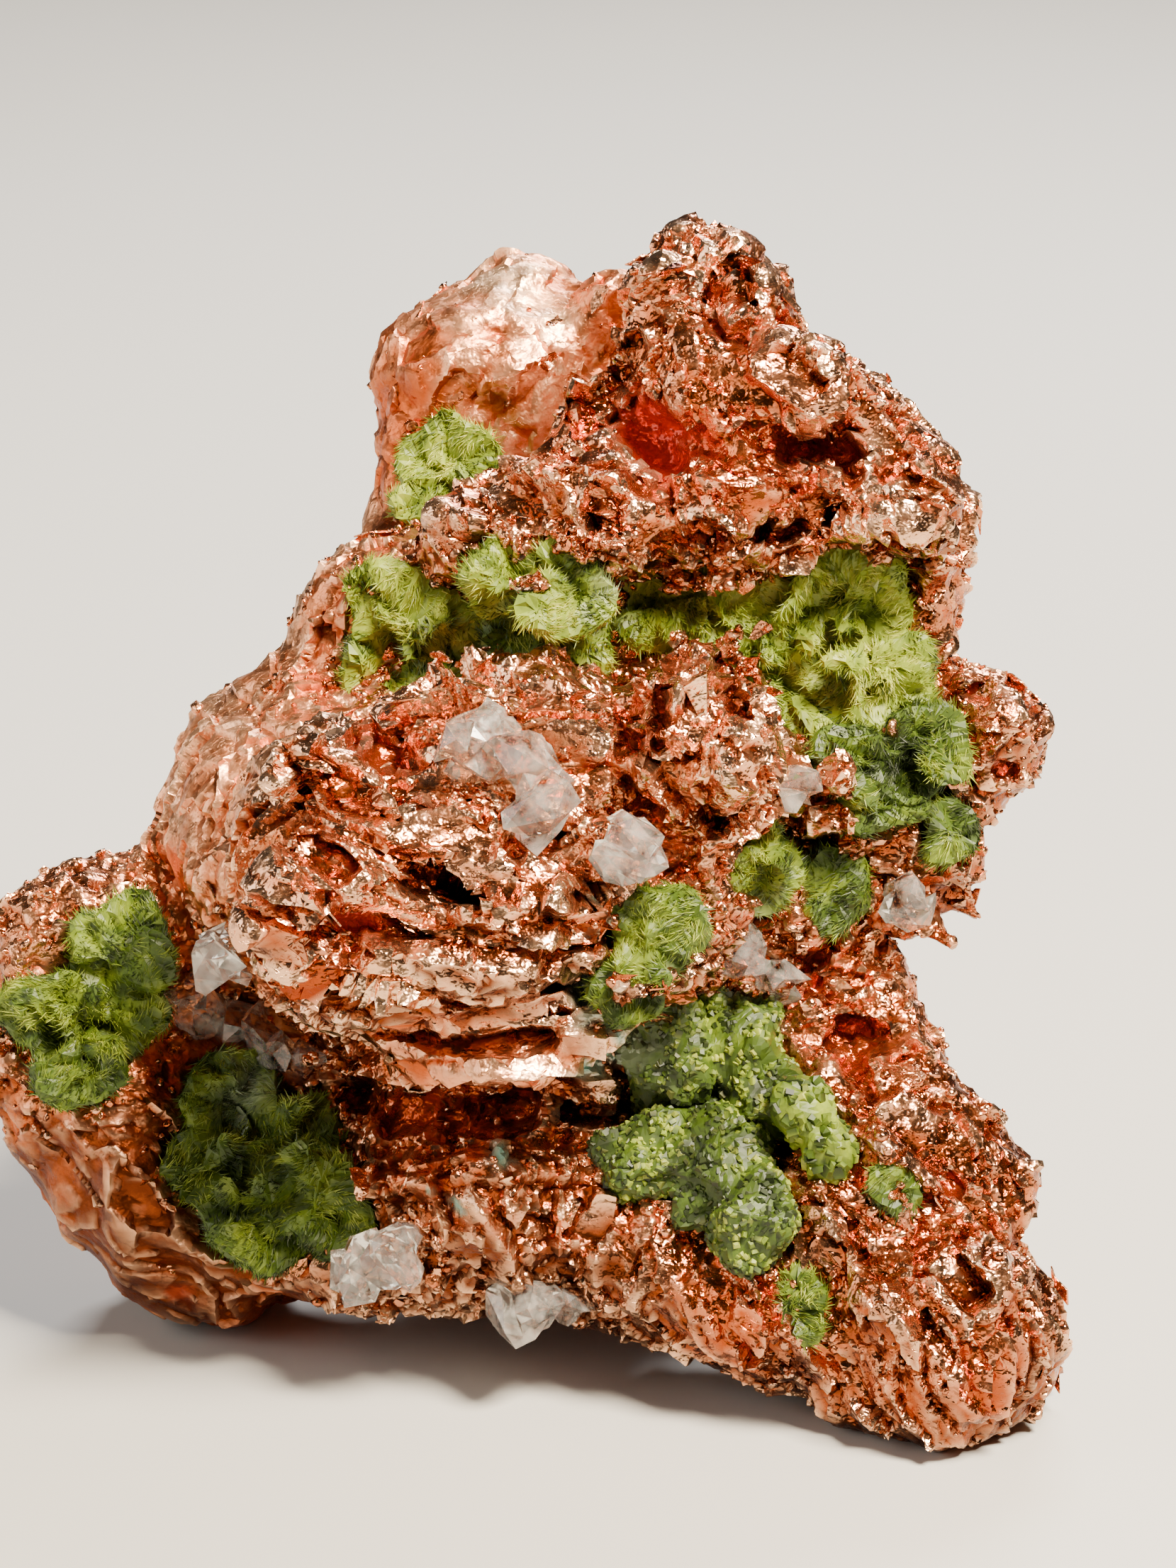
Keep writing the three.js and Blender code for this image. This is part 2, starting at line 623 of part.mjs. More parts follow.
// The metal, and a sleeve round it, a CLEARANCE away, that each mineral stops at. Where two minerals
// meet, the one that comes later in the table gives way
const skin = relax(polygonize(toMetal), toMetal, EVEN_ROUNDS);
const copper = withShoots(solidFrom(skin), 0).subtract(underFloor());
const outer = relax(skin, (p) => toMetal(p) - CLEARANCE, 1);
const sleeve = withShoots(solidFrom(outer), CLEARANCE);
const minerals = [];
for (const mineral of MINERALS) {
  const grown = minerals.reduce((rest, other) => rest.subtract(other.reach), massOf(mineral));
  minerals.push({ name: mineral.name, solid: grown.subtract(sleeve), reach: massOf(mineral, CLEARANCE) });
}

const face = new THREE.Group();
face.rotation.x = -LEAN;
face.add(meshOf("copper", largest(copper), COPPER_FINISH));
for (const { name, solid } of minerals) face.add(meshOf(name, largest(solid), habitOf(name).finish));

// Stand the specimen on z = 0, with the middle of its outline over the origin
const specimen = new THREE.Group();
specimen.add(face);
specimen.updateMatrixWorld(true);
const outline = new THREE.Box3().setFromObject(specimen, true);
const middle = outline.getCenter(new THREE.Vector3());
face.position.set(-middle.x, -middle.y, -outline.min.z);

export default specimen;
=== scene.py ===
import math

import bmesh
import bpy
import numpy as np
from mathutils import Matrix, Vector
from mathutils.bvhtree import BVHTree


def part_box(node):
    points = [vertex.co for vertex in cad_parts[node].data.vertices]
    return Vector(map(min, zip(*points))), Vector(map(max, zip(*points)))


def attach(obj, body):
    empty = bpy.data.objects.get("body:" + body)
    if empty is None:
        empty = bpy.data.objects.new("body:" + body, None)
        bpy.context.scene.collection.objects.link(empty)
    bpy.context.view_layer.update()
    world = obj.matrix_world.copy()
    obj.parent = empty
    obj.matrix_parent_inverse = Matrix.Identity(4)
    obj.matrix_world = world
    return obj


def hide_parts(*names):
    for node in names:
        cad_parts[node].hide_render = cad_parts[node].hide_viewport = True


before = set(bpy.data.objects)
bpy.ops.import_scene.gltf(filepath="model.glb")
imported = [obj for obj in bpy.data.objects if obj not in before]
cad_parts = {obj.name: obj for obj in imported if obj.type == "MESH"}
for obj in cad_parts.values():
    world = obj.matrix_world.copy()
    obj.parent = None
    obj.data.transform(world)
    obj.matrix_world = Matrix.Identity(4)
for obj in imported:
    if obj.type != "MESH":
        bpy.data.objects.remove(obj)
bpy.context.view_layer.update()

# The specimen's show face
# The lump leans back on its three feet, so every place on it is given in the plane of its show
# face: u to the right, v up the face and w out of it, in millimetres.
MM = 0.001
LEAN = math.radians(20)
FACE_ORIGIN = np.array([0.506, -9.354, -2.100])
RIGHT = np.array([1.0, 0.0, 0.0])
UP = np.array([0.0, math.sin(LEAN), math.cos(LEAN)])
OUT = np.array([0.0, -math.cos(LEAN), math.sin(LEAN)])
FACE_AXES = np.array([RIGHT, UP, OUT])


def to_row(face_points):
    return np.asarray(face_points) @ FACE_AXES + FACE_ORIGIN


def to_face(row_points):
    return (np.asarray(row_points) - FACE_ORIGIN) @ FACE_AXES.T


# The camera
# It looks square at the show face, 20 degrees down from level, from a long way off for so small a
# thing, as a macro lens does. SPAN is the height of the show face that fills the picture.
SIGHT = 220.0
SPAN = 58.2
AIM = (2.2, 24.66, 0.0)
camera_data = bpy.data.cameras.new("camera")
camera_data.sensor_width = 36.0
camera_data.lens = camera_data.sensor_width * SIGHT / SPAN
camera_data.clip_start = 0.01
camera_data.clip_end = 10.0
camera = bpy.data.objects.new("camera", camera_data)
facing = Matrix([RIGHT, UP, OUT]).transposed().to_4x4()
facing.translation = Vector((to_row(AIM) + SIGHT * OUT) * MM)
camera.matrix_world = facing
bpy.context.scene.collection.objects.link(camera)
bpy.context.scene.camera = camera


# The studio
# A soft light stands high in front on the right, a broad weak one on the left and a third behind.
# The specimen stands on a plain board with a pale matt coat, which gives a soft, even ground.
def colour(code):
    """An sRGB hex colour as linear red, green, blue and alpha."""
    parts = [int(code[n : n + 2], 16) / 255 for n in (1, 3, 5)]
    return (*[c / 12.92 if c <= 0.04045 else ((c + 0.055) / 1.055) ** 2.4 for c in parts], 1.0)


def add(tree, kind, settings=(), links=()):
    """Adds a node: settings are its properties or its inputs' values, links its inputs' sources."""
    node = tree.nodes.new(kind)
    for name, value in dict(settings).items():
        if isinstance(name, str) and hasattr(node, name):
            setattr(node, name, value)
        else:
            node.inputs[name].default_value = value
    for name, source in dict(links).items():
        tree.links.new(source, node.inputs[name])
    return node


def material_named(name):
    """An empty node material and its output node."""
    material = bpy.data.materials.new(name)
    material.use_nodes = True
    material.node_tree.nodes.clear()
    return material, material.node_tree, material.node_tree.nodes.new("ShaderNodeOutputMaterial")


MID_HEIGHT = 20


def area_light(name, place, size, power, tint):
    """A rectangular light at a place in the row frame, in millimetres, turned to the specimen."""
    light = bpy.data.lights.new(name, "AREA")
    light.shape = "RECTANGLE"
    light.size, light.size_y = size[0] * MM, size[1] * MM
    light.energy = power
    light.color = colour(tint)[:3]
    lamp = bpy.data.objects.new(name, light)
    at = Vector(place) * MM
    lamp.location = at
    toward = Vector((0, 0, MID_HEIGHT)) * MM - at
    lamp.rotation_euler = toward.to_track_quat("-Z", "Y").to_euler()
    bpy.context.scene.collection.objects.link(lamp)


area_light("key_light", (110, -110, 250), (80, 80), 5.0, "#FFEFD6")
area_light("fill_light", (-250, -60, 130), (240, 200), 0.6, "#FFF8F0")
area_light("rim_light", (60, 190, 170), (120, 60), 1.0, "#FFFFFF")

world = bpy.data.worlds.new("studio")
world.use_nodes = True
world.node_tree.nodes["Background"].inputs["Color"].default_value = colour("#C9CCD0")
world.node_tree.nodes["Background"].inputs["Strength"].default_value = 0.08
bpy.context.scene.world = world

table_mesh = bpy.data.meshes.new("table")
TABLE_HALF = 1.5
table_mesh.from_pydata(
    [(x * TABLE_HALF, y * TABLE_HALF, 0) for x, y in ((-1, -1), (1, -1), (1, 1), (-1, 1))],
    [],
    [(0, 1, 2, 3)],
)
table = bpy.data.objects.new("table", table_mesh)
bpy.context.scene.collection.objects.link(table)
matt_board, tree, out = material_named("pale_matt_board")
mottle = add(tree, "ShaderNodeTexNoise", {"Scale": 40.0, "Detail": 4.0})
tone = add(
    tree,
    "ShaderNodeMix",
    {"data_type": "RGBA", 6: colour("#B2B0AC"), 7: colour("#B9B7B3")},
    {"Factor": mottle.outputs["Fac"]},
)
board = add(tree, "ShaderNodeBsdfPrincipled", {"Roughness": 0.85}, {"Base Color": tone.outputs[2]})
tree.links.new(board.outputs[0], out.inputs["Surface"])
table_mesh.materials.append(matt_board)


# Native copper
# One lump of metal that grew into the cracks of its rock. Its skin is torn foil, hackly plates and
# small round nodules, with deep red-brown pits where crystals have been.
SKIN_STEP = 0.3
SKIN_TRIANGLES = 196000


def chance(cells, salt=0.0):
    """Repeatable random numbers from 0 to 1, three for each whole-number cell."""
    mix = cells @ np.array([[127.1, 269.5, 113.5], [311.7, 183.3, 271.9], [74.7, 246.1, 124.6]])
    return np.modf(np.abs(np.sin(mix + salt)) * 43758.5453)[0]


def swell(points, size, salt=0.0):
    """Smooth noise from -1 to 1 with lumps about size apart."""
    scaled = points / size
    cell = np.floor(scaled)
    part = scaled - cell
    ease = part * part * (3 - 2 * part)
    total = np.zeros(len(points))
    for corner in np.ndindex(2, 2, 2):
        weight = np.prod(np.where(corner, ease, 1 - ease), axis=1)
        total += weight * chance(cell + corner, salt)[:, 0]
    return 2 * total - 1


def shards(points, size, salt=0.0):
    """Cells about size across: each point's offset from its cell's seed, and the cell's lot."""
    scaled = points / size
    cell = np.floor(scaled)
    near = np.full(len(points), np.inf)
    offset = np.zeros_like(points)
    lot = np.zeros_like(points)
    for step in np.ndindex(3, 3, 3):
        here = cell + np.array(step) - 1
        away = scaled - here - chance(here, salt)
        gap = np.linalg.norm(away, axis=1)
        closer = gap < near
        near = np.where(closer, gap, near)
        offset[closer] = away[closer]
        lot[closer] = chance(here[closer], salt + 5.0)
    return offset * size, lot


def domed(offset, size):
    """The height of a round dome on each cell, from 1 at its seed to 0 at its size from it."""
    return np.sqrt(np.clip(1 - (np.linalg.norm(offset, axis=1) / size) ** 2, 0, 1))


def ramp(values, start, end):
    """0 below start, 1 above end, and an even ease between."""
    part = np.clip((values - start) / (end - start), 0, 1)
    return part * part * (3 - 2 * part)


def along(points, turn, stretch):
    """Points with the face turned by so many degrees and shrunk along the turned u axis."""
    a = math.radians(turn)
    u = (points[:, 0] * math.cos(a) + points[:, 1] * math.sin(a)) / stretch
    v = points[:, 1] * math.cos(a) - points[:, 0] * math.sin(a)
    return np.stack([u, v, points[:, 2]], axis=1)


# How the skin looks from place to place: a region's middle and reach in the face frame, the turn
# of its foils in degrees and how long they are for their width, the size and slope of its tilted
# foil plates, the size and rise of its round nodules, the spacing and drop of its stepped layers,
# how much paler it is, and how far its hackle is calmed. Sizes are in millimetres.
SKIN_VALUES = ("at", "reach", "turn", "stretch", "foil", "tilt", "nodule", "rise", "layer", "drop",
               "tone", "smooth")
SKIN_ROWS = {
    "crown": ((8.0, 38.0, 2.0), (9, 7, 6), -35, 1.4,
        1.8, 0.75, 1.1, 0.2, 2.0, 0.3, 0.0, 0.0),
    "far_lobe": ((-1.0, 39.5, -7.0), (6, 8, 4), 80, 1.5,
        1.5, 0.35, 1.3, 0.42, 2.0, 0.0, 0.12, 0.6),
    "shoulder": ((-6.5, 29.5, -1.0), (4, 4, 5), 60, 1.4,
        1.2, 0.45, 1.0, 0.34, 2.0, 0.1, 0.12, 0.4),
    "left_slope": ((-11.5, 23.0, 1.0), (3, 7, 7), 75, 4.0,
        1.4, 0.5, 1.6, 0.1, 1.3, 0.24, 0.1, 0.5),
    "hump": ((-2.5, 20.5, 9.0), (8.5, 6.5, 6), -16, 2.4,
        2.4, 1.1, 0.6, 0.05, 1.7, 0.32, 0.07, 0.0),
    # Painted shade: under the hump the tone is darker, where the hump's lower half faces down into
    # shade.
    "under_hump": ((-1.0, 17.2, 8.0), (7.5, 2.8, 6), -8, 2.4,
        1.8, 0.9, 0.6, 0.05, 1.7, 0.25, -0.5, 0.1),
    "knob": ((6.5, 25.5, 7.0), (3.5, 4.5, 4), -50, 1.8,
        1.8, 1.1, 0.6, 0.05, 1.5, 0.25, 0.14, 0.0),
    # Painted highlight: the lip's tone is paler, where the ledge catches the light.
    "lip": ((-1.0, 14.6, 9.0), (6, 1.6, 4), 8, 3.0,
        2.4, 0.35, 0.6, 0.06, 1.4, 0.1, 0.55, 0.5),
    "right_lobe": ((15.5, 25.0, 1.0), (4, 5, 4), 20, 1.2,
        1.3, 0.65, 0.9, 0.26, 2.0, 0.1, -0.02, 0.0),
    "right_middle": ((12.0, 17.0, 2.0), (4, 4, 4), 40, 1.4,
        1.5, 0.7, 0.8, 0.16, 1.8, 0.2, -0.02, 0.1),
    "right_foot": ((12.0, 7.0, 4.0), (7, 7, 6), -62, 3.4,
        1.2, 0.8, 1.0, 0.1, 2.2, 0.15, -0.1, 0.0),
    "lower_sheet": ((-1.0, 8.0, 4.0), (6, 4, 5), 82, 3.2,
        1.1, 0.7, 0.6, 0.12, 2.4, 0.2, -0.25, 0.2),
    "left_lobe": ((-16.0, 17.0, 0.0), (4, 5, 4), 30, 1.3,
        1.1, 0.5, 0.95, 0.36, 2.0, 0.1, 0.02, 0.1),
    "left_rim": ((-14.0, 8.5, -1.0), (4, 5, 5), -40, 2.2,
        1.7, 0.3, 1.5, 0.16, 1.8, 0.1, -0.3, 0.65),
    "back": ((1.0, 20.0, -12.0), (18, 18, 6), 30, 1.6,
        1.7, 0.6, 1.3, 0.3, 2.4, 0.2, 0.0, 0.1),
}
SKIN = {name: dict(zip(SKIN_VALUES, row)) for name, row in SKIN_ROWS.items()}
# The layers of foil curve round this spot of the show face.
LAYERS_ROUND = np.array([-1.5, 30.0])
REGION_FALL = 1.6
LEAST_SHARE = 0.04
PLATE_LEAN = 0.55
PLATE_STEP = 0.35
PLATE_SCALES = ((1.0, 1.0), (0.45, 0.8))
STEP_EDGE = 0.86


def shares(points):
    """How much each region of SKIN counts at each point, adding up to 1."""
    pulls = []
    for region in SKIN.values():
        away = (points - np.array(region["at"])) / np.array(region["reach"])
        pulls.append(np.exp(-REGION_FALL * np.sum(away * away, axis=1)) + 1e-9)
    pulls = np.array(pulls)
    return pulls / pulls.sum(axis=0)


def relief(points):
    """Height of the metal's skin over its smooth form, in millimetres, at points of the face."""
    wander = np.stack([swell(points, 2.6, salt) for salt in (1.0, 2.0, 3.0)], axis=1)
    bent = points + 0.8 * wander
    height = 0.3 * swell(points, 3.1, 4.0) + 0.2 * swell(points, 1.5, 5.0)
    rings = np.hypot(bent[:, 0] - LAYERS_ROUND[0], bent[:, 1] - LAYERS_ROUND[1])
    rings += 0.35 * swell(points, 0.7, 6.0) + 0.3 * bent[:, 2]
    for region, share in zip(SKIN.values(), shares(points)):
        on = share > LEAST_SHARE
        if not on.any():
            continue
        laid = along(bent[on], region["turn"], region["stretch"])
        part = np.zeros(on.sum())
        for scale, strength in PLATE_SCALES:
            offset, lot = shards(laid, region["foil"] * scale, 7.0 * scale)
            lean = (lot - 0.5) * 2 * region["tilt"] * strength
            part += np.sum(offset * lean, axis=1) * PLATE_LEAN
            part += (lot[:, 0] - 0.5) * region["foil"] * scale * region["tilt"] * PLATE_STEP
        offset, lot = shards(points[on], region["nodule"], 11.0)
        round_top = domed(offset, region["nodule"])
        part += region["rise"] * (round_top - 0.6) * (0.4 + lot[:, 1])
        step = rings[on] / region["layer"]
        step -= np.floor(step)
        part += region["drop"] * (step - ramp(step, STEP_EDGE, 1.0) - 0.43)
        height[on] += share[on] * part
    return height


# Pits in the show face: u, v, half width, half height, turn in degrees, depth, and how red
PITS = np.array([
    (4.6, 37.0, 1.5, 2.5, 20, 1.3, 1.0),
    (10.9, 36.8, 1.8, 1.2, -20, 1.2, 0.5),
    (6.2, 43.3, 1.3, 0.8, 0, 1.2, 0.1),
    (-0.1, 38.1, 1.1, 0.7, 30, 0.7, 0.8),
    (7.4, 41.0, 1.3, 0.5, -30, 0.5, 0.3),
    (5.4, 34.6, 0.8, 0.4, 0, 0.8, 0.2),
    (8.9, 33.8, 1.3, 0.5, 10, 1.2, 0.0),
    (12.3, 34.6, 1.3, 0.5, 20, 1.2, 0.0),
    (-4.9, 26.0, 1.5, 0.9, -10, 1.2, 0.25),
    (-3.6, 25.4, 0.45, 0.35, 0, 1.2, 0.0),
    (-8.4, 24.3, 0.9, 0.35, -30, 0.8, 0.0),
    (-1.5, 23.8, 0.6, 0.3, -20, 0.8, 0.0),
    (-3.3, 23.8, 0.4, 0.3, 0, 0.7, 0.3),
    (-3.2, 20.9, 2.0, 0.8, -20, 0.7, 0.0),
    (-6.3, 20.1, 1.3, 0.4, -25, 0.8, 1.0),
    (-8.9, 17.6, 1.2, 0.3, -40, 0.8, 0.5),
    (-5.0, 17.9, 3.0, 0.6, -14, 1.1, 0.2),
    (1.2, 17.2, 2.2, 0.6, 22, 1.1, 0.1),
    (6.4, 25.5, 0.7, 0.3, -10, 0.8, 0.6),
    (4.4, 26.8, 0.35, 1.2, 5, 0.6, 0.5),
    (-4.2, 12.6, 2.6, 0.8, -6, 1.4, 0.3),
    (-0.8, 12.7, 1.2, 0.6, 10, 1.2, 0.1),
    (2.6, 12.6, 1.4, 0.5, 0, 0.9, 0.0),
    (10.4, 17.6, 0.9, 1.0, 0, 0.8, 0.3),
    (12.0, 15.2, 1.2, 1.0, 10, 1.2, 0.15),
    (8.8, 14.6, 0.5, 1.4, -25, 1.0, 0.0),
    (14.9, 9.9, 1.2, 0.6, 30, 0.5, 0.3),
    (-13.1, 5.4, 0.9, 0.5, -30, 0.5, 1.0),
    (-11.6, 13.6, 0.6, 1.6, 30, 0.6, 0.2),
    (16.6, 28.0, 0.5, 0.4, 0, 0.5, 0.3),
    (17.6, 25.0, 0.6, 0.4, 0, 0.6, 0.3),
])
# Plates of clean foil in the show face: u, v, half width, half height, turn in degrees, slope
# along and across it, and how far it stands off the skin
PLATES = np.array([
    (-1.0, 21.4, 2.1, 0.7, -20, 0.1, 0.35, 0.1),
    (2.2, 19.8, 0.75, 0.95, -8, -0.25, -0.25, 0.3),
    (0.4, 21.6, 0.8, 0.6, -30, -0.1, -0.45, 0.3),
    (3.6, 27.0, 0.45, 1.4, 4, 0.5, 0.0, 0.1),
    (4.7, 27.2, 0.35, 1.2, -8, -0.5, 0.0, 0.2),
    (7.3, 28.2, 0.3, 1.3, 18, 0.3, -0.3, 0.3),
    (6.0, 27.0, 0.8, 1.1, -30, -0.2, -0.3, 0.2),
    (-2.7, 22.9, 2.0, 0.8, -12, -0.1, -0.25, 0.2),
    (-7.2, 22.2, 1.5, 0.6, -35, -0.2, -0.5, 0.2),
    (-2.0, 15.3, 3.3, 0.45, 4, 0.0, -0.9, 0.2),
    (-1.0, 16.4, 2.6, 0.45, 12, 0.0, 0.6, 0.0),
    (-4.2, 18.9, 1.7, 0.35, -8, 0.0, -0.7, 0.4),
    (9.4, 39.2, 1.6, 0.9, -35, -0.15, -0.35, 0.2),
    (7.4, 42.8, 0.9, 0.8, 0, 0.3, -0.2, 0.1),
    (2.2, 38.3, 1.1, 0.9, 30, 0.2, -0.4, 0.2),
    (3.5, 39.9, 0.5, 1.1, -30, 0.5, 0.1, 0.1),
    (12.8, 36.9, 1.1, 0.8, -50, -0.2, -0.3, 0.2),
    (10.8, 23.4, 0.8, 0.7, 0, -0.2, -0.3, 0.5),
    (13.8, 12.6, 1.1, 0.8, -40, -0.2, -0.3, 0.3),
    (15.6, 6.8, 1.3, 0.7, -50, -0.1, -0.4, 0.2),
    (2.6, 9.0, 1.0, 0.6, 70, 0.3, 0.0, 0.2),
])
# Where a thin blue-green stain lies on the metal: (u, v), reach
STAINS = [((2.5, 17.1), 0.9), ((3.0, 16.4), 0.6), ((1.9, 14.4), 0.8), ((2.6, 15.0), 0.5),
          ((3.4, 14.9), 0.5), ((-1.0, 11.0), 0.5), ((-2.6, 9.4), 0.5), ((1.6, 20.3), 0.3)]
# How dark the painted shade is on faces that look down
UNDERSIDE_SHADE = 0.45
# Where a thin oxide turns the metal orange: (u, v), reach
RUST = [((7.6, 37.6), 4.6), ((1.0, 37.4), 2.2), ((-5.0, 26.0), 1.9), ((-6.6, 19.6), 2.2),
        ((-3.0, 12.8), 4.0), ((13.6, 9.6), 2.0), ((7.6, 5.4), 2.6), ((12.0, 15.2), 1.8),
        ((3.9, 27.2), 1.6), ((-10.2, 17.4), 1.6), ((10.4, 18.6), 1.6), ((16.4, 3.0), 1.8)]


def in_pits(points):
    """The depth of the pits at each point of the show face, and how red they are there."""
    ragged = 1 + 0.3 * swell(points, 0.9, 21.0) + 0.2 * swell(points, 0.35, 22.0)
    depth = np.zeros(len(points))
    red = np.zeros(len(points))
    for u, v, wide, high, turn, deep, redness in PITS:
        a = math.radians(turn)
        du, dv = points[:, 0] - u, points[:, 1] - v
        across = (du * math.cos(a) + dv * math.sin(a)) / wide
        upward = (dv * math.cos(a) - du * math.sin(a)) / high
        inside = 1 - ramp(np.hypot(across, upward) * ragged, 0.5, 1.15)
        depth = np.maximum(depth, deep * inside)
        red = np.maximum(red, redness * inside)
    return depth, red


def plated(points):
    """How far each plate moves the points of the show face out, and how much it counts there."""
    move = np.zeros(len(points))
    on_plate = np.zeros(len(points))
    ragged = 1 + 0.3 * swell(points, 0.8, 23.0)
    for u, v, wide, high, turn, slope_along, slope_across, proud in PLATES:
        a = math.radians(turn)
        du, dv = points[:, 0] - u, points[:, 1] - v
        across = du * math.cos(a) + dv * math.sin(a)
        upward = dv * math.cos(a) - du * math.sin(a)
        edge = np.maximum(np.abs(across) / wide, np.abs(upward) / high) * ragged
        inside = (1 - ramp(edge, 0.8, 1.0)) * (points[:, 2] > -1)
        if inside.max() < 0.5:
            continue
        level = np.median(points[inside > 0.5, 2]) + proud
        target = level + across * slope_along + upward * slope_across
        move = move * (1 - inside) + (target - points[:, 2]) * inside
        on_plate = np.maximum(on_plate, inside)
    return move, on_plate


# Folds in the show face: how high a crest stands, how far it falls off on the left of its path and
# on the right, then the places (u, v) that it passes
FOLDS = [
    (0.9, 1.8, 0.3, (-7.4, 13.4), (-4.6, 14.2), (-1.5, 14.4), (1.6, 14.6), (3.2, 15.0)),
    (0.8, 2.2, 0.5, (2.8, 18.8), (0.2, 18.1), (-3.0, 18.8), (-6.4, 18.6), (-8.6, 19.8)),
    (0.5, 1.2, 0.3, (-6.6, 16.2), (-4.0, 16.8), (-1.0, 17.6), (1.2, 19.6)),
    (0.6, 0.5, 1.3, (-8.6, 24.8), (-9.6, 21.4), (-9.0, 18.2), (-6.8, 15.6)),
    (0.5, 1.3, 0.3, (-7.6, 21.2), (-5.2, 20.4), (-2.6, 20.2), (0.4, 19.4)),
    (0.5, 1.2, 0.3, (-6.8, 23.2), (-3.8, 22.3), (-0.8, 22.8)),
    (0.5, 0.3, 1.0, (4.4, 24.4), (4.2, 26.6), (4.0, 28.2)),
    (0.5, 1.4, 0.3, (5.6, 24.0), (7.2, 24.6), (8.6, 24.4)),
    (0.8, 2.4, 0.9, (15.4, 33.8), (13.2, 37.0), (9.8, 40.4), (6.8, 43.6)),
    (0.7, 2.4, 0.8, (4.8, 43.4), (3.4, 41.2), (0.0, 38.6), (-3.2, 35.2)),
    (0.5, 1.6, 0.4, (0.8, 35.4), (4.0, 35.6), (7.6, 35.0), (11.4, 35.6)),
    (0.5, 1.4, 0.3, (-5.2, 9.6), (-2.0, 10.6), (1.4, 10.2)),
    (0.5, 0.4, 1.5, (-1.6, 9.4), (-0.6, 7.4), (0.6, 5.2)),
    (0.6, 0.5, 1.8, (10.2, 9.8), (12.6, 6.6), (15.4, 3.4)),
    (0.6, 1.8, 0.5, (17.2, 7.0), (14.6, 9.6), (12.6, 12.6), (11.0, 14.2)),
]
FOLD_WAVER = 0.3


def folded(points):
    """Height of the folds at points of the show face."""
    waver = [FOLD_WAVER * swell(points, 1.3, salt) for salt in (24.0, 25.0)]
    wavy = points[:, :2] + np.stack(waver, axis=1)
    height = np.zeros(len(points))
    for crest, left_fall, right_fall, *path in FOLDS:
        nearest = np.full(len(points), np.inf)
        on_left = np.zeros(len(points), dtype=bool)
        for start, end in zip(path, path[1:]):
            way = np.subtract(end, start)
            gap = wavy - start
            gap = gap - np.clip(gap @ way / (way @ way), 0, 1)[:, None] * way
            far = np.linalg.norm(gap, axis=1)
            closer = far < nearest
            nearest = np.where(closer, far, nearest)
            on_left = np.where(closer, way[0] * gap[:, 1] > way[1] * gap[:, 0], on_left)
        height += crest * np.clip(1 - nearest / np.where(on_left, left_fall, right_fall), 0, 1)
    return height


def painted_underside_shade(normals):
    """How much darker the metal is painted where it faces down: a painted shade on its undersides.
    """
    return UNDERSIDE_SHADE * np.clip(-(normals @ UP) - 0.1, 0, 1)


def near_spots(points, spots):
    """1 at the middle of a spot on the show side, falling to 0 at its reach."""
    most = np.zeros(len(points))
    ragged = 1 + 0.4 * swell(points, 0.9, 21.0) + 0.5 * swell(points, 0.3, 22.0)
    for (u, v), reach in spots:
        away = np.hypot(points[:, 0] - u, points[:, 1] - v) / reach * ragged
        most = np.maximum(most, np.clip(1.6 - 1.6 * away, 0, 1))
    return most * np.clip((points[:, 2] + 3.0) / 2.0, 0, 1)


def shape_in_mm(node):
    """A copy of a drawn solid as a mesh in millimetres, with its corners joined."""
    shape = bmesh.new()
    shape.from_mesh(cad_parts[node].data)
    bmesh.ops.scale(shape, vec=(1 / MM,) * 3, verts=shape.verts)
    bmesh.ops.remove_doubles(shape, verts=shape.verts, dist=0.001)
    mesh = bpy.data.meshes.new(node + "_form")
    shape.to_mesh(mesh)
    shape.free()
    return mesh


def modified(mesh, *modifiers):
    """A mesh after modifiers, each a (type, settings) pair."""
    carrier = bpy.data.objects.new("carrier", mesh)
    bpy.context.scene.collection.objects.link(carrier)
    for kind, settings in modifiers:
        modifier = carrier.modifiers.new(kind, kind)
        for name, value in settings.items():
            setattr(modifier, name, value)
    graph = bpy.context.evaluated_depsgraph_get()
    made = bpy.data.meshes.new_from_object(carrier.evaluated_get(graph))
    bpy.data.objects.remove(carrier)
    return made


def points_of(mesh):
    points = np.zeros(len(mesh.vertices) * 3)
    mesh.vertices.foreach_get("co", points)
    return points.reshape(-1, 3)


def normals_of(mesh):
    normals = np.zeros(len(mesh.vertices) * 3)
    mesh.vertices.foreach_get("normal", normals)
    return normals.reshape(-1, 3)


def set_points(mesh, points):
    mesh.vertices.foreach_set("co", np.ascontiguousarray(points).ravel())
    mesh.update()


def set_values(mesh, name, values):
    """A value from 0 to 1 at each vertex, which the material reads by its name."""
    mesh.attributes.new(name, "FLOAT", "POINT").data.foreach_set("value", np.asarray(values, float))


def keep_in_box(points, nodes, spare=0.4):
    """Points held inside the drawn solids' box, with a little to spare, and over the table."""
    corners = np.array([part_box(node) for node in nodes]) / MM
    low, high = corners[:, 0].min(axis=0) - spare, corners[:, 1].max(axis=0) + spare
    low[2] = max(low[2], 0.0)
    return np.clip(points, low, high)


def place_piece(name, mesh, material, nodes, crease=0.0):
    """Puts a mesh in millimetres into the specimen, as the piece that stands for some nodes."""
    set_points(mesh, points_of(mesh) * MM)
    mesh.polygons.foreach_set("use_smooth", np.full(len(mesh.polygons), crease > 0))
    mesh.set_sharp_from_angle(angle=math.radians(crease))
    mesh.materials.clear()
    mesh.materials.append(material)
    piece = bpy.data.objects.new(name, mesh)
    bpy.context.scene.collection.objects.link(piece)
    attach(piece, "root")
    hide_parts(*nodes)


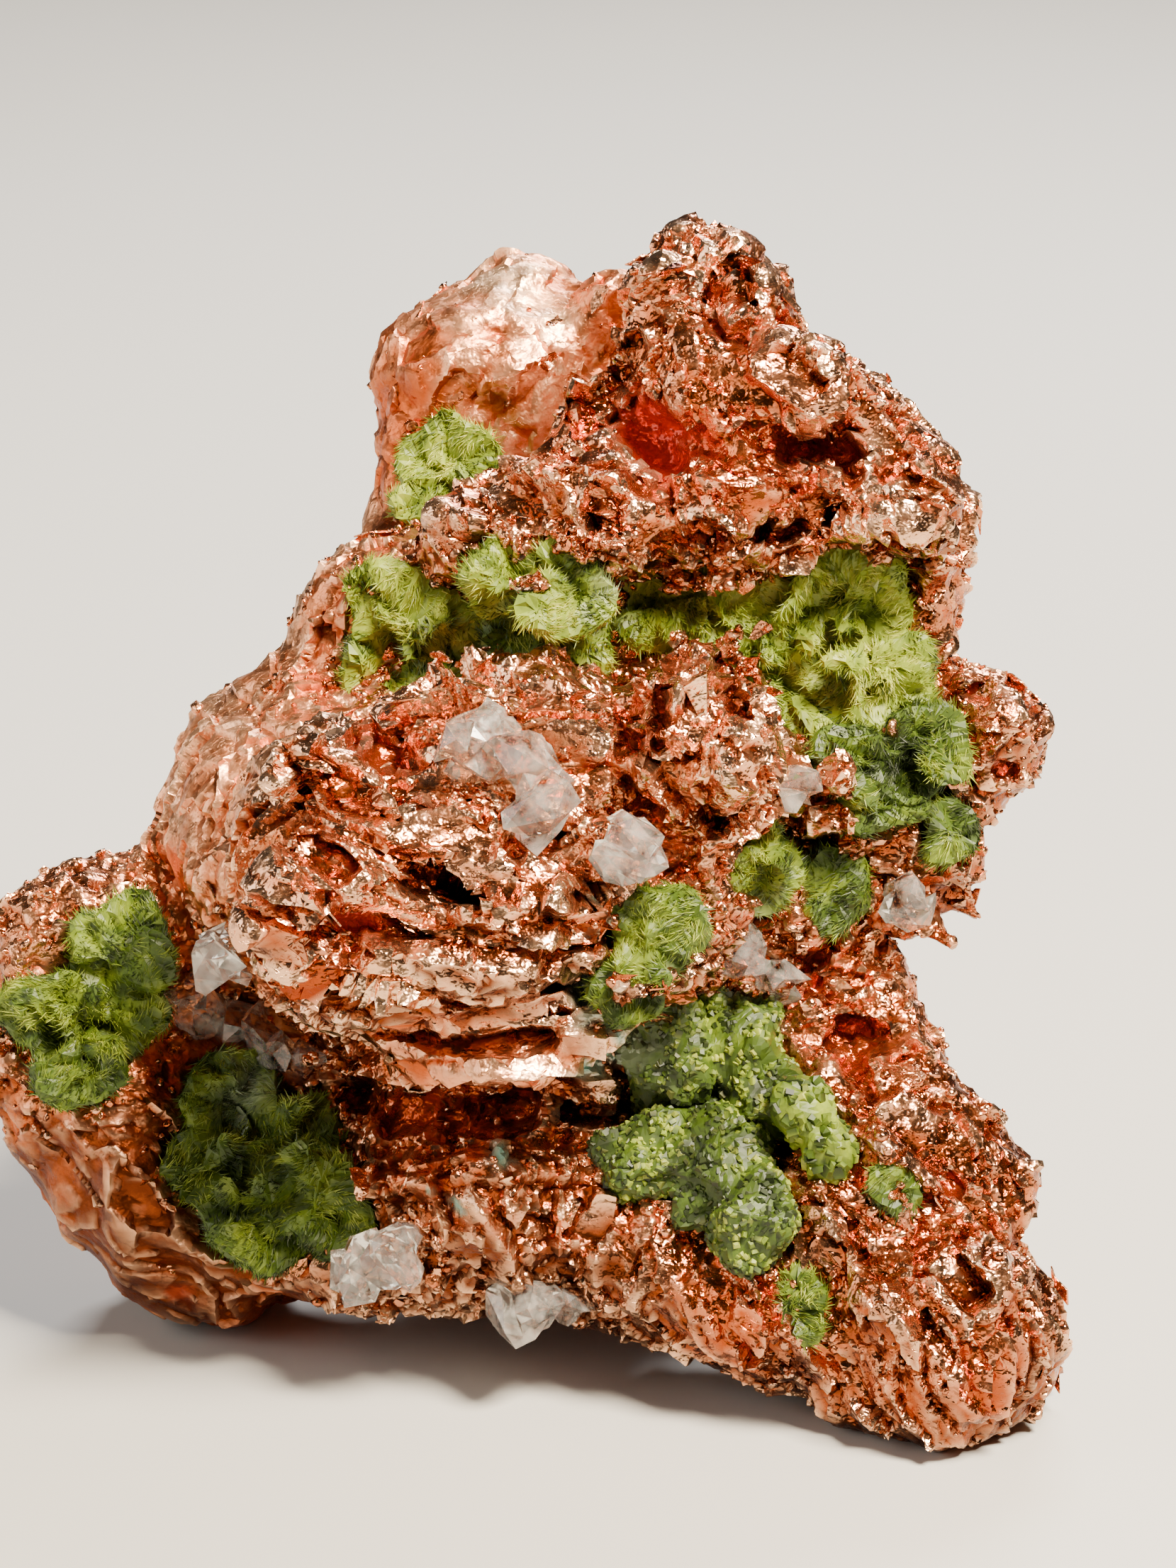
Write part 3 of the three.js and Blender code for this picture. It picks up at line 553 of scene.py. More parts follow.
# Torn edges and ribbons of metal that run over the crystals: half width, then the places (u, v)
# on the show face that each one passes
RIBBONS = [
    (0.5, (-3.6, 34.4), (-2.0, 34.1), (1.5, 33.1), (3.8, 33.2), (4.9, 32.1), (6.1, 31.9),
     (8.2, 32.3)),
    (0.5, (8.2, 32.3), (10.2, 33.2), (11.3, 33.8), (13.0, 34.2), (15.0, 33.6), (16.0, 31.6)),
    (0.2, (-2.2, 33.4), (-2.1, 31.5), (-2.4, 29.8)),
    (0.4, (2.6, 33.2), (3.2, 31.6), (3.4, 29.8), (4.2, 28.6)),
    (0.45, (-2.5, 28.9), (-1.2, 29.0), (0.6, 28.5), (1.4, 28.0)),
    (0.3, (0.0, 32.1), (0.5, 31.2)),
    (0.22, (7.4, 30.5), (9.8, 30.2)),
    (0.45, (4.9, 29.5), (6.4, 29.9), (8.3, 29.2), (8.9, 28.2), (8.7, 26.3), (8.3, 24.9)),
    (0.4, (13.4, 27.0), (12.6, 26.6)),
    (0.35, (11.3, 25.4), (11.1, 23.6), (12.2, 22.6)),
    (0.4, (7.0, 24.0), (6.2, 22.7), (6.1, 20.9), (6.6, 19.4), (5.9, 18.6), (4.2, 16.9)),
    (0.45, (3.2, 17.0), (5.5, 17.6), (7.6, 17.3), (9.2, 17.1)),
    (0.45, (9.8, 22.4), (9.6, 19.6), (10.4, 19.0)),
    (0.45, (-13.4, 18.2), (-12.3, 17.8), (-11.6, 17.2)),
    (0.45, (-8.2, 14.4), (-7.0, 12.4), (-5.7, 10.8), (-5.4, 9.3)),
    (0.5, (-14.3, 10.4), (-13.5, 8.4), (-11.8, 6.6), (-9.0, 6.0)),
]


def along_path(path, step):
    """Places about a step apart along a path of (u, v) corners."""
    for start, end in zip(path, path[1:]):
        parts = max(1, round(math.dist(start, end) / step))
        for k in range(parts):
            yield np.array(start) + (np.array(end) - np.array(start)) * k / parts


def search_tree(nodes):
    """One search tree of some of the drawn solids, in millimetres."""
    crowd = bmesh.new()
    for node in nodes:
        crowd.from_mesh(shape_in_mm(node))
    found = BVHTree.FromBMesh(crowd)
    crowd.free()
    return found


draw = np.random.default_rng(11)
IN_FRONT = 40.0
whole_form = search_tree(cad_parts)
lode = bmesh.new()
lode.from_mesh(shape_in_mm("copper"))
for half_width, *path in RIBBONS:
    for spot in along_path(path, 0.6 * half_width):
        u, v = spot + 0.35 * half_width * draw.normal(size=2)
        struck = whole_form.ray_cast(Vector(to_row((u, v, IN_FRONT))), Vector(-OUT))[0]
        radius = half_width * draw.uniform(0.6, 1.15)
        if struck:
            bmesh.ops.create_icosphere(lode, subdivisions=1, radius=radius,
                                       matrix=Matrix.Translation(struck + Vector(OUT) * 0.1))
ribboned = bpy.data.meshes.new("ribboned")
lode.to_mesh(ribboned)
lode.free()
skin = modified(
    ribboned,
    ("REMESH", {"mode": "VOXEL", "voxel_size": SKIN_STEP}),
    ("SMOOTH", {"factor": 0.5, "iterations": 8}),
    ("SUBSURF", {"levels": 1}),
)
HOLLOW_DEPTH, RIDGE_HEIGHT, FOOT_HEIGHT = 0.3, 0.22, 0.15
ground = to_face(points_of(skin))
depth, red = in_pits(ground)
shown = ramp(normals_of(skin) @ OUT, 0.0, 0.4) * ramp(ground[:, 2], -3.0, 0.0)
set_points(skin, points_of(skin) - OUT * (depth * shown)[:, None])
rested = points_of(skin)
lift = relief(ground) + folded(ground) * shown
lift -= np.average(lift)
calm = np.clip(red * shown, 0, 1)
raised = rested + normals_of(skin) * (lift * (1 - 0.75 * calm) + 0.1)[:, None]
move, on_plate = plated(to_face(raised))
raised += OUT * np.clip(move * shown, -1.2, 1.2)[:, None]
footing = np.clip((rested[:, 2] - FOOT_HEIGHT) / 0.5, 0, 1)[:, None]
set_points(skin, keep_in_box(rested + (raised - rested) * footing, ["copper"]))
evened = modified(skin.copy(), ("SMOOTH", {"factor": 0.5, "iterations": 24}))
hollow = np.sum((points_of(evened) - points_of(skin)) * normals_of(skin), axis=1)
# The hollows and pits are darkened: partly a thin oxide, partly painted shade.
in_hollows = 0.8 * np.clip(hollow / HOLLOW_DEPTH, 0, 1)
set_values(skin, "hollow", in_hollows + 0.5 * np.clip(depth * shown, 0, 1))
set_values(skin, "ridge", np.clip(-hollow / RIDGE_HEIGHT, 0, 1))
set_values(skin, "red", calm)
region_shares = shares(ground)
skin_tone, skin_smooth = (
    sum(region[value] * part for region, part in zip(SKIN.values(), region_shares))
    for value in ("tone", "smooth")
)
# The sides and the back have no pits or plates of their own: the oxide lies there in patches.
cloudy = 1.5 * swell(ground, 4.2, 61.0) + 0.7 * swell(ground, 1.3, 62.0)
patches = np.clip(cloudy, -1, 1) * (1 - shown)
# The tone also carries a painted shade on faces that look down.
set_values(skin, "tone", skin_tone - painted_underside_shade(normals_of(skin)) - 0.14 * patches)
set_values(skin, "smooth", skin_smooth)
set_values(skin, "stain", near_spots(ground, STAINS))
set_values(skin, "rust", near_spots(ground, RUST) * shown + 1.3 * np.clip(patches, 0, 1))
set_values(skin, "plate", on_plate * shown)
full_count = len(skin.loops) - 2 * len(skin.polygons)
skin = modified(
    skin,
    ("DECIMATE", {"ratio": SKIN_TRIANGLES / full_count, "use_collapse_triangulate": True}),
)

# Bare native copper, broken and unpolished: bright cream to salmon faces, and orange to red-brown
# hollows, darkened partly by a thin oxide and partly by painted shade. Faces that look down carry a
# painted shade and the lip a painted highlight. The finest hackle, under half a millimetre, is
# bump.
HACKLE = 0.3
copper, tree, out = material_named("native_copper")
where = add(tree, "ShaderNodeTexCoord")
in_mm = add(tree, "ShaderNodeVectorMath", {"operation": "SCALE", "Scale": 1 / MM},
            {0: where.outputs["Object"]})
value = {
    name: add(tree, "ShaderNodeAttribute", {"attribute_name": name}).outputs["Fac"]
    for name in ("hollow", "ridge", "red", "stain", "rust", "tone", "smooth")
}
drift = add(tree, "ShaderNodeTexNoise", {"Scale": 1 / 2.2, "Detail": 6.0, "Roughness": 0.7},
            {"Vector": in_mm.outputs[0]})
paler = add(tree, "ShaderNodeMath", {"operation": "ADD"},
            {0: drift.outputs["Fac"], 1: value["tone"]})
# The tone sets the metal's tarnish. It also carries a painted shade under the hump and on faces
# that look down, and a painted highlight on the lip.
tarnish_and_painted_light = add(tree, "ShaderNodeValToRGB", {}, {"Fac": paler.outputs[0]})
tarnish_and_painted_light.color_ramp.elements[0].position = 0.12
tarnish_and_painted_light.color_ramp.elements[0].color = colour("#5E2A12")
tarnish_and_painted_light.color_ramp.elements[1].position = 0.88
tarnish_and_painted_light.color_ramp.elements[1].color = colour("#F8CDA4")
for position, code in ((0.36, "#98481F"), (0.52, "#CE7645"), (0.68, "#E9A274")):
    step = tarnish_and_painted_light.color_ramp.elements.new(position)
    step.color = colour(code)
# Dark brown in the hollows: partly oxide, partly painted shade.
hollow_oxide_and_shade = add(tree, "ShaderNodeMix", {"data_type": "RGBA", 7: colour("#662A12")},
              {"Factor": value["hollow"], 6: tarnish_and_painted_light.outputs["Color"]})
rubbed = add(tree, "ShaderNodeMix", {"data_type": "RGBA", 7: colour("#F6C297")},
             {"Factor": value["ridge"], 6: hollow_oxide_and_shade.outputs[2]})
part_rust = add(tree, "ShaderNodeMath", {"operation": "MULTIPLY", 1: 0.5},
                {0: value["rust"]})
orange = add(tree, "ShaderNodeMix", {"data_type": "RGBA", 7: colour("#C4561C")},
             {"Factor": part_rust.outputs[0], 6: rubbed.outputs[2]})
oxide = add(tree, "ShaderNodeMix", {"data_type": "RGBA", 7: colour("#B42802")},
            {"Factor": value["red"], 6: orange.outputs[2]})
crust = add(tree, "ShaderNodeMix", {"data_type": "RGBA", 7: colour("#7CA896")},
            {"Factor": value["stain"], 6: oxide.outputs[2]})
filmed = add(tree, "ShaderNodeMath", {"operation": "MULTIPLY_ADD", 1: 0.55},
             {0: value["red"], 2: value["stain"]})
bare = add(tree, "ShaderNodeMath", {"operation": "SUBTRACT", "use_clamp": True, 0: 1.0},
           {1: filmed.outputs[0]})


def hackle_height(tree, place, size, slope):
    """Fine tilted plates: each Voronoi cell of this size leans its own way. In millimetres."""
    cell = add(tree, "ShaderNodeTexVoronoi", {"Scale": 1 / size}, {"Vector": place})
    offset = add(tree, "ShaderNodeVectorMath", {"operation": "SUBTRACT"},
                 {0: place, 1: cell.outputs["Position"]})
    lean = add(tree, "ShaderNodeVectorMath", {"operation": "SUBTRACT", 1: (0.5, 0.5, 0.5)},
               {0: cell.outputs["Color"]})
    height = add(tree, "ShaderNodeVectorMath", {"operation": "DOT_PRODUCT"},
                 {0: offset.outputs[0], 1: lean.outputs[0]})
    return add(tree, "ShaderNodeMath", {"operation": "MULTIPLY", 1: 2 * slope},
               {0: height.outputs["Value"]}).outputs[0]


squeezed = add(tree, "ShaderNodeMapping", {"Scale": (0.4, 1.0, 1.0), "Rotation": (0.0, 0.3, 0.4)},
               {"Vector": in_mm.outputs[0]})
wavering = add(tree, "ShaderNodeTexNoise", {"Scale": 1 / 0.9, "Detail": 3.0},
               {"Vector": in_mm.outputs[0]})
wavered = add(tree, "ShaderNodeVectorMath", {"operation": "MULTIPLY_ADD", 1: (1.1, 1.1, 1.1)},
              {0: wavering.outputs["Color"], 2: squeezed.outputs[0]})
coarse = hackle_height(tree, wavered.outputs[0], 1.7 * HACKLE, 0.3)
fine = hackle_height(tree, wavered.outputs[0], 0.7 * HACKLE, 0.15)
crinkle = add(tree, "ShaderNodeTexNoise",
              {"noise_type": "RIDGED_MULTIFRACTAL", "normalize": True, "Scale": 1 / 0.55,
               "Detail": 4.0, "Roughness": 0.6, "Lacunarity": 2.1},
              {"Vector": wavered.outputs[0]})
creased = add(tree, "ShaderNodeMath", {"operation": "MULTIPLY", 1: 0.04},
              {0: crinkle.outputs["Fac"]})
plates = add(tree, "ShaderNodeMath", {"operation": "ADD"}, {0: coarse, 1: fine})
hackle = add(tree, "ShaderNodeMath", {"operation": "ADD"},
             {0: plates.outputs[0], 1: creased.outputs[0]})
calmed = add(tree, "ShaderNodeMapRange", {"To Min": 1.0, "To Max": 0.2},
             {"Value": value["smooth"]})
bump = add(tree, "ShaderNodeBump", {"Distance": MM},
           {"Height": hackle.outputs[0], "Strength": calmed.outputs[0]})
grit = add(tree, "ShaderNodeTexNoise", {"Scale": 1 / 0.6, "Detail": 4.0},
           {"Vector": in_mm.outputs[0]})
sheen = add(tree, "ShaderNodeMapRange", {"From Min": 0.3, "From Max": 0.7, "To Min": 0.15,
                                         "To Max": 0.32}, {"Value": grit.outputs["Fac"]})
satin = add(tree, "ShaderNodeMath", {"operation": "MULTIPLY_ADD", 1: 0.34},
            {0: value["smooth"], 2: sheen.outputs[0]})
metal = add(tree, "ShaderNodeBsdfPrincipled", {},
            {"Base Color": crust.outputs[2], "Metallic": bare.outputs[0],
             "Roughness": satin.outputs[0], "Normal": bump.outputs["Normal"]})
tree.links.new(metal.outputs[0], out.inputs["Surface"])


# Torn copper foil
# Thin cupped flakes of the same metal stand off the lump like ruffled shingles. Each is rooted in
# it along one side and has a ragged free edge.
FLAKES = 2200
FLAKE_SIDES = 6
FLAKE_THICKNESS = 0.06
FLAKE_LENGTH = (0.2, 0.65)
FLAKE_WIDTH = (0.3, 0.6)
FLAKE_LEAN = (4, 34)


def unit(vectors):
    return vectors / np.maximum(np.linalg.norm(vectors, axis=-1, keepdims=True), 1e-9)


def values_of(mesh, name):
    values = np.zeros(len(mesh.vertices))
    mesh.attributes[name].data.foreach_get("value", values)
    return values


def seeds(mesh, count, draw):
    """Points spread by chance over a mesh's skin, the way it faces there, and the corners round."""
    mesh.calc_loop_triangles()
    corners = np.zeros(3 * len(mesh.loop_triangles), dtype=np.int32)
    mesh.loop_triangles.foreach_get("vertices", corners)
    corners = corners.reshape(-1, 3)
    points, normals = points_of(mesh), normals_of(mesh)
    a, b, c = (points[corners[:, k]] for k in range(3))
    area = np.linalg.norm(np.cross(b - a, c - a), axis=1)
    chosen = draw.choice(len(area), count, p=area / area.sum())
    r, s = draw.random((2, count, 1))
    r, s = np.where(r + s > 1, 1 - r, r), np.where(r + s > 1, 1 - s, s)
    at = a[chosen] + r * (b - a)[chosen] + s * (c - a)[chosen]
    return at, unit(normals[corners[chosen]].mean(axis=1)), corners[chosen]


def planted(shape, faces, at, axes):
    """One mesh of many small closed shapes, each with its own points, place and axes."""
    count, corners = shape.shape[:2]
    points = at[:, None, :] + np.einsum("nki,nij->nkj", shape, axes)
    triangles = (faces[None] + corners * np.arange(count)[:, None, None]).reshape(-1)
    mesh = bpy.data.meshes.new("planted")
    mesh.vertices.add(count * corners)
    mesh.vertices.foreach_set("co", points.ravel())
    mesh.loops.add(len(triangles))
    mesh.loops.foreach_set("vertex_index", triangles)
    mesh.polygons.add(len(triangles) // 3)
    mesh.polygons.foreach_set("loop_start", np.arange(0, len(triangles), 3))
    mesh.update(calc_edges=True)
    return mesh


def flow_at(points):
    """The way the foil runs at points of the face, as a direction in the row frame."""
    out_from = points[:, :2] - LAYERS_ROUND
    rings = unit(np.stack([-out_from[:, 1], out_from[:, 0]], axis=1))
    share = shares(points)
    names = list(SKIN)
    turned = np.zeros((len(points), 2))
    for name, part in zip(names, share):
        a = math.radians(SKIN[name]["turn"])
        turned += part[:, None] * np.array([math.cos(a), math.sin(a)])
    on_rings = sum(share[names.index(name)] for name in ("hump", "lip", "left_slope"))[:, None]
    rings *= np.sign(np.sum(rings * turned, axis=1, keepdims=True) + 1e-9)
    flat = turned * (1 - on_rings) + rings * on_rings
    return flat[:, :1] * RIGHT + flat[:, 1:] * UP


LOOSE_SPARE = 0.5
# How thick the flakes stand on each region
LUSH = {"under_hump": 0.3, "crown": 0.8, "hump": 0.5, "knob": 0.6, "lip": 0.3, "right_lobe": 0.8,
        "right_foot": 0.5, "right_middle": 0.6, "lower_sheet": 0.7, "shoulder": 0.5,
        "left_lobe": 0.5, "back": 0.35, "far_lobe": 0.05, "left_slope": 0.1, "left_rim": 0.05}
RIM = 0.75
minerals = search_tree([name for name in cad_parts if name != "copper"])


def toward_minerals(points):
    """The step from each point to the nearest crystal mass, and how near its rim each point is."""
    steps = np.array([minerals.find_nearest(Vector(p))[0] for p in points]) - points
    return steps, 1 - ramp(np.linalg.norm(steps, axis=1), 0.5 * RIM, 1.6 * RIM)


at, facing, corners = seeds(skin, 6 * FLAKES, draw)
place = to_face(at)
lushness = 0.35 * sum(LUSH[name] * part for name, part in zip(SKIN, shares(place)))
clean = np.maximum(values_of(skin, "red"), values_of(skin, "plate"))
steps, rimmed = toward_minerals(at)
wanted = (lushness + 0.8 * rimmed) * (1 - clean[corners].max(axis=1))
keep = (draw.random(len(at)) < wanted) & (at[:, 2] > 0.8)
at, facing, place = at[keep][:FLAKES], facing[keep][:FLAKES], place[keep][:FLAKES]
steps, rimmed = steps[keep][:FLAKES], rimmed[keep][:FLAKES, None]
count = len(at)
run = flow_at(place) + 0.3 * draw.normal(size=(count, 3))
run = unit(run - facing * np.sum(run * facing, axis=1, keepdims=True))
side = np.cross(facing, run)
side *= np.where(side[:, 2:] < 0, -1, 1) * np.where(draw.random((count, 1)) < 0.25, -1, 1)
side = unit(side + 2 * rimmed * unit(steps))
side = unit(side - facing * np.sum(side * facing, axis=1, keepdims=True))
run = np.cross(side, facing)
lean = np.radians(draw.uniform(*FLAKE_LEAN, (count, 1)))
rise = side * np.cos(lean) + facing * np.sin(lean)
axes = np.stack([run, rise, np.cross(run, rise)], axis=1)
length = FLAKE_LENGTH[0] + FLAKE_LENGTH[1] * draw.random((count, 1)) ** 2
width = length * draw.uniform(*FLAKE_WIDTH, (count, 1))
angle = np.arange(FLAKE_SIDES) / FLAKE_SIDES * 2 * math.pi
angle = angle + draw.uniform(-0.3, 0.3, (count, FLAKE_SIDES))
ragged = draw.uniform(0.55, 1.15, (count, FLAKE_SIDES))
curl = width * draw.uniform(-0.5, 0.5, (count, 1)) * ragged**2
outline = np.stack([np.cos(angle) * ragged * length, np.sin(angle) * ragged * width,
                    curl + 0.05 * length * draw.normal(size=(count, FLAKE_SIDES))], axis=2)
middle_point = np.zeros((count, 1, 3))
sheet = np.concatenate([outline, middle_point], axis=1)
lower = sheet - np.array([0, 0, FLAKE_THICKNESS])
flake_faces = []
for k in range(FLAKE_SIDES):
    n, low = (k + 1) % FLAKE_SIDES, FLAKE_SIDES + 1
    flake_faces += [(k, n, FLAKE_SIDES), (low + n, low + k, low + FLAKE_SIDES),
                    (k, low + k, n), (n, low + k, low + n)]
rooted = at + rise * width * 0.45 - facing * 0.04
flakes = planted(np.concatenate([sheet, lower], axis=1), np.array(flake_faces), rooted, axes)
set_points(flakes, keep_in_box(points_of(flakes), ["copper"], LOOSE_SPARE))
set_values(flakes, "ridge", np.repeat(0.5 * draw.random(count), 2 * FLAKE_SIDES + 2))
# A painted shade darkens the flakes that face down.
set_values(flakes, "tone", np.repeat(-painted_underside_shade(facing), 2 * FLAKE_SIDES + 2))

# Hackly copper grains
# Little broken nubs of metal, a quarter to half a millimetre, grown on the granular parts.
GRAINS = 3600
# How thick the nubs stand on each region
NUBBY = {"under_hump": 0.0, "crown": 0.4, "hump": 0.05, "knob": 0.08, "lip": 0.05,
         "right_lobe": 1.0, "right_foot": 0.3, "right_middle": 0.4, "lower_sheet": 0.5,
         "shoulder": 0.7, "left_lobe": 0.8, "back": 0.3, "far_lobe": 0.1, "left_slope": 0.02,
         "left_rim": 0.02}
NUB_TOP = 0.14
nub = bmesh.new()
bmesh.ops.create_icosphere(nub, subdivisions=1, radius=1.0)
nub_points = np.array([vertex.co[:] for vertex in nub.verts])
nub_faces = np.array([[vertex.index for vertex in face.verts] for face in nub.faces])
nub.free()
at, facing, corners = seeds(skin, 5 * GRAINS, draw)
nubbiness = 0.5 * sum(NUBBY[name] * part for name, part in zip(SKIN, shares(to_face(at))))
rimmed = toward_minerals(at)[1]
wanted = (nubbiness + 0.9 * rimmed) * (1 - clean[corners].max(axis=1))
keep = (draw.random(len(at)) < wanted) & (at[:, 2] > 0.7)
at, facing = at[keep][:GRAINS], facing[keep][:GRAINS]
rimmed = rimmed[keep][:GRAINS]
count = len(at)
run = unit(np.cross(facing, draw.normal(size=(count, 3))))
axes = np.stack([run, np.cross(facing, run), facing], axis=1)
size = 0.09 + NUB_TOP * draw.random((count, 1, 1)) ** 2 + 0.07 * rimmed[:, None, None]
size = size * draw.uniform(0.7, 1.5, (count, 1, 3))
broken = draw.uniform(0.8, 1.15, (count, len(nub_points), 1))
nubs = planted(nub_points[None] * size * broken, nub_faces, at, axes)
set_points(nubs, keep_in_box(points_of(nubs), ["copper"], LOOSE_SPARE))
set_values(nubs, "ridge", np.repeat(0.5 * draw.random(count), len(nub_points)))
# A painted shade darkens the nubs that face down.
set_values(nubs, "tone", np.repeat(-painted_underside_shade(facing), len(nub_points)))
skin_tree = BVHTree.FromPolygons(
    [tuple(p) for p in points_of(skin)], [tuple(p.vertices) for p in skin.polygons]
)
place_piece("copper_lump", skin, copper, ["copper"], crease=38)
place_piece("copper_foil", flakes, copper, ["copper"])
place_piece("copper_nubs", nubs, copper, ["copper"], crease=60)


# Epidote
# Pistachio-green masses that filled hollows of the metal: a lumpy body of grown-together crystals,
# covered with a felt of fine needles, or with stout grains in the lower cluster. Its broken skin is
# dull and lets a little light in. A painted shade darkens its hollows and the roots of its
# crystals, and painted glints make some tips paler.
epidote_nodes = [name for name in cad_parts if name.startswith("epidote")]
epidote, tree, out = material_named("epidote")
where = add(tree, "ShaderNodeTexCoord")
in_mm = add(tree, "ShaderNodeVectorMath", {"operation": "SCALE", "Scale": 1 / MM},
            {0: where.outputs["Object"]})
value = {
    name: add(tree, "ShaderNodeAttribute", {"attribute_name": name}).outputs["Fac"]
    for name in ("tip", "tone", "frost")
}
cloud = add(tree, "ShaderNodeTexNoise", {"Scale": 1 / 1.6, "Detail": 5.0, "Roughness": 0.65},
            {"Vector": in_mm.outputs[0]})
mixed = add(tree, "ShaderNodeMath", {"operation": "MULTIPLY_ADD", 1: 0.9},
            {0: cloud.outputs["Fac"], 2: value["tone"]})
green = add(tree, "ShaderNodeValToRGB", {}, {"Fac": mixed.outputs[0]})
green.color_ramp.elements[0].position = 0.2
green.color_ramp.elements[0].color = colour("#1E2B06")
green.color_ramp.elements[1].position = 0.95
green.color_ramp.elements[1].color = colour("#C4CA56")
for position, code in ((0.42, "#40560E"), (0.66, "#839624")):
    step = green.color_ramp.elements.new(position)
    step.color = colour(code)
# Painted highlights: some crystal tips are coloured as glints.
tip_glints = add(tree, "ShaderNodeMix", {"data_type": "RGBA", 7: colour("#B4B556")},
             {"Factor": value["tip"], 6: green.outputs["Color"]})
bloom = add(tree, "ShaderNodeMix", {"data_type": "RGBA", 7: colour("#9FAE92")},
            {"Factor": value["frost"], 6: tip_glints.outputs[2]})
gem = add(tree, "ShaderNodeBsdfPrincipled",
          {"Roughness": 0.5, "IOR": 1.73, "Specular IOR Level": 0.14, "Transmission Weight": 0.2},
          {"Base Color": bloom.outputs[2]})
tree.links.new(gem.outputs[0], out.inputs["Surface"])

# A stout grain is a four-sided prism with a chisel tip: root, shoulder, then the tip's edge
CRYSTAL = np.array([(-1, -1, -1), (1, -1, -1), (1, 1, -1), (-1, 1, -1),
                    (-1, -1, 0.55), (1, -1, 0.55), (1, 1, 0.55), (-1, 1, 0.55),
                    (-0.6, 0, 1), (0.6, 0, 1)], dtype=float)
CRYSTAL_FACES = np.array([(0, 2, 1), (0, 3, 2), (0, 1, 5), (0, 5, 4), (1, 2, 6), (1, 6, 5),
                          (2, 3, 7), (2, 7, 6), (3, 0, 4), (3, 4, 7), (4, 5, 9), (4, 9, 8),
                          (6, 7, 8), (6, 8, 9), (5, 6, 9), (7, 4, 8)])
# Where a pale bloom lies on the crystals: (u, v), reach
FROST = [((8.0, 19.6), 1.6), ((3.0, 31.9), 0.9), ((-10.4, 13.2), 1.3), ((3.7, 14.9), 0.8)]
# How pale each mass is, where it is not middling
PALENESS = {"epidote_upper_left": 0.2, "epidote_upper_middle": 0.14, "epidote_band": 0.2,
            "epidote_lower_left": 0.02, "epidote_far_lobe": 0.15, "epidote_left": 0.02,
            "epidote_cluster": -0.1, "epidote_crystals_by_cluster": 0.06, "epidote_right": -0.04,
            "epidote_middle": 0.08}
# How far each mass's top is set back into the metal, where it is not flush
SUNKEN = {"epidote_cluster": 0.5, "epidote_crystals_by_cluster": 0.3, "epidote_pocket": 1.0,
          "epidote_small_ball": 0.9, "epidote_foot_upper": 0.9, "epidote_foot_lower": 0.9}
# A needle is a three-sided spike, drawn about twice as thick as a real one so that it shows
NEEDLE = np.array([(1, 0, 0), (-0.5, 0.87, 0), (-0.5, -0.87, 0), (0, 0, 1)])
NEEDLE_FACES = np.array([(0, 2, 1), (0, 1, 3), (1, 2, 3), (2, 0, 3)])
# How a mass's crystals grow: their form and its faces, how many to a square millimetre, half
# thickness, length, and how far they lie down along the swirls of the mass
SPRAYS = (NEEDLE, NEEDLE_FACES, 85, 0.028, 0.6, 1.0)
STOUT = {"epidote_cluster": (CRYSTAL, CRYSTAL_FACES, 13, 0.1, 0.2, 0.4),
         "epidote_crystals_by_cluster": (CRYSTAL, CRYSTAL_FACES, 6, 0.15, 0.32, 0.35)}
TUFT = 1.5
BUDS_PER_MM2 = 0.5
LUMP, GRAIN = 1.1, 0.5
FLUSH = 1.75
BODY_STEP = 0.2
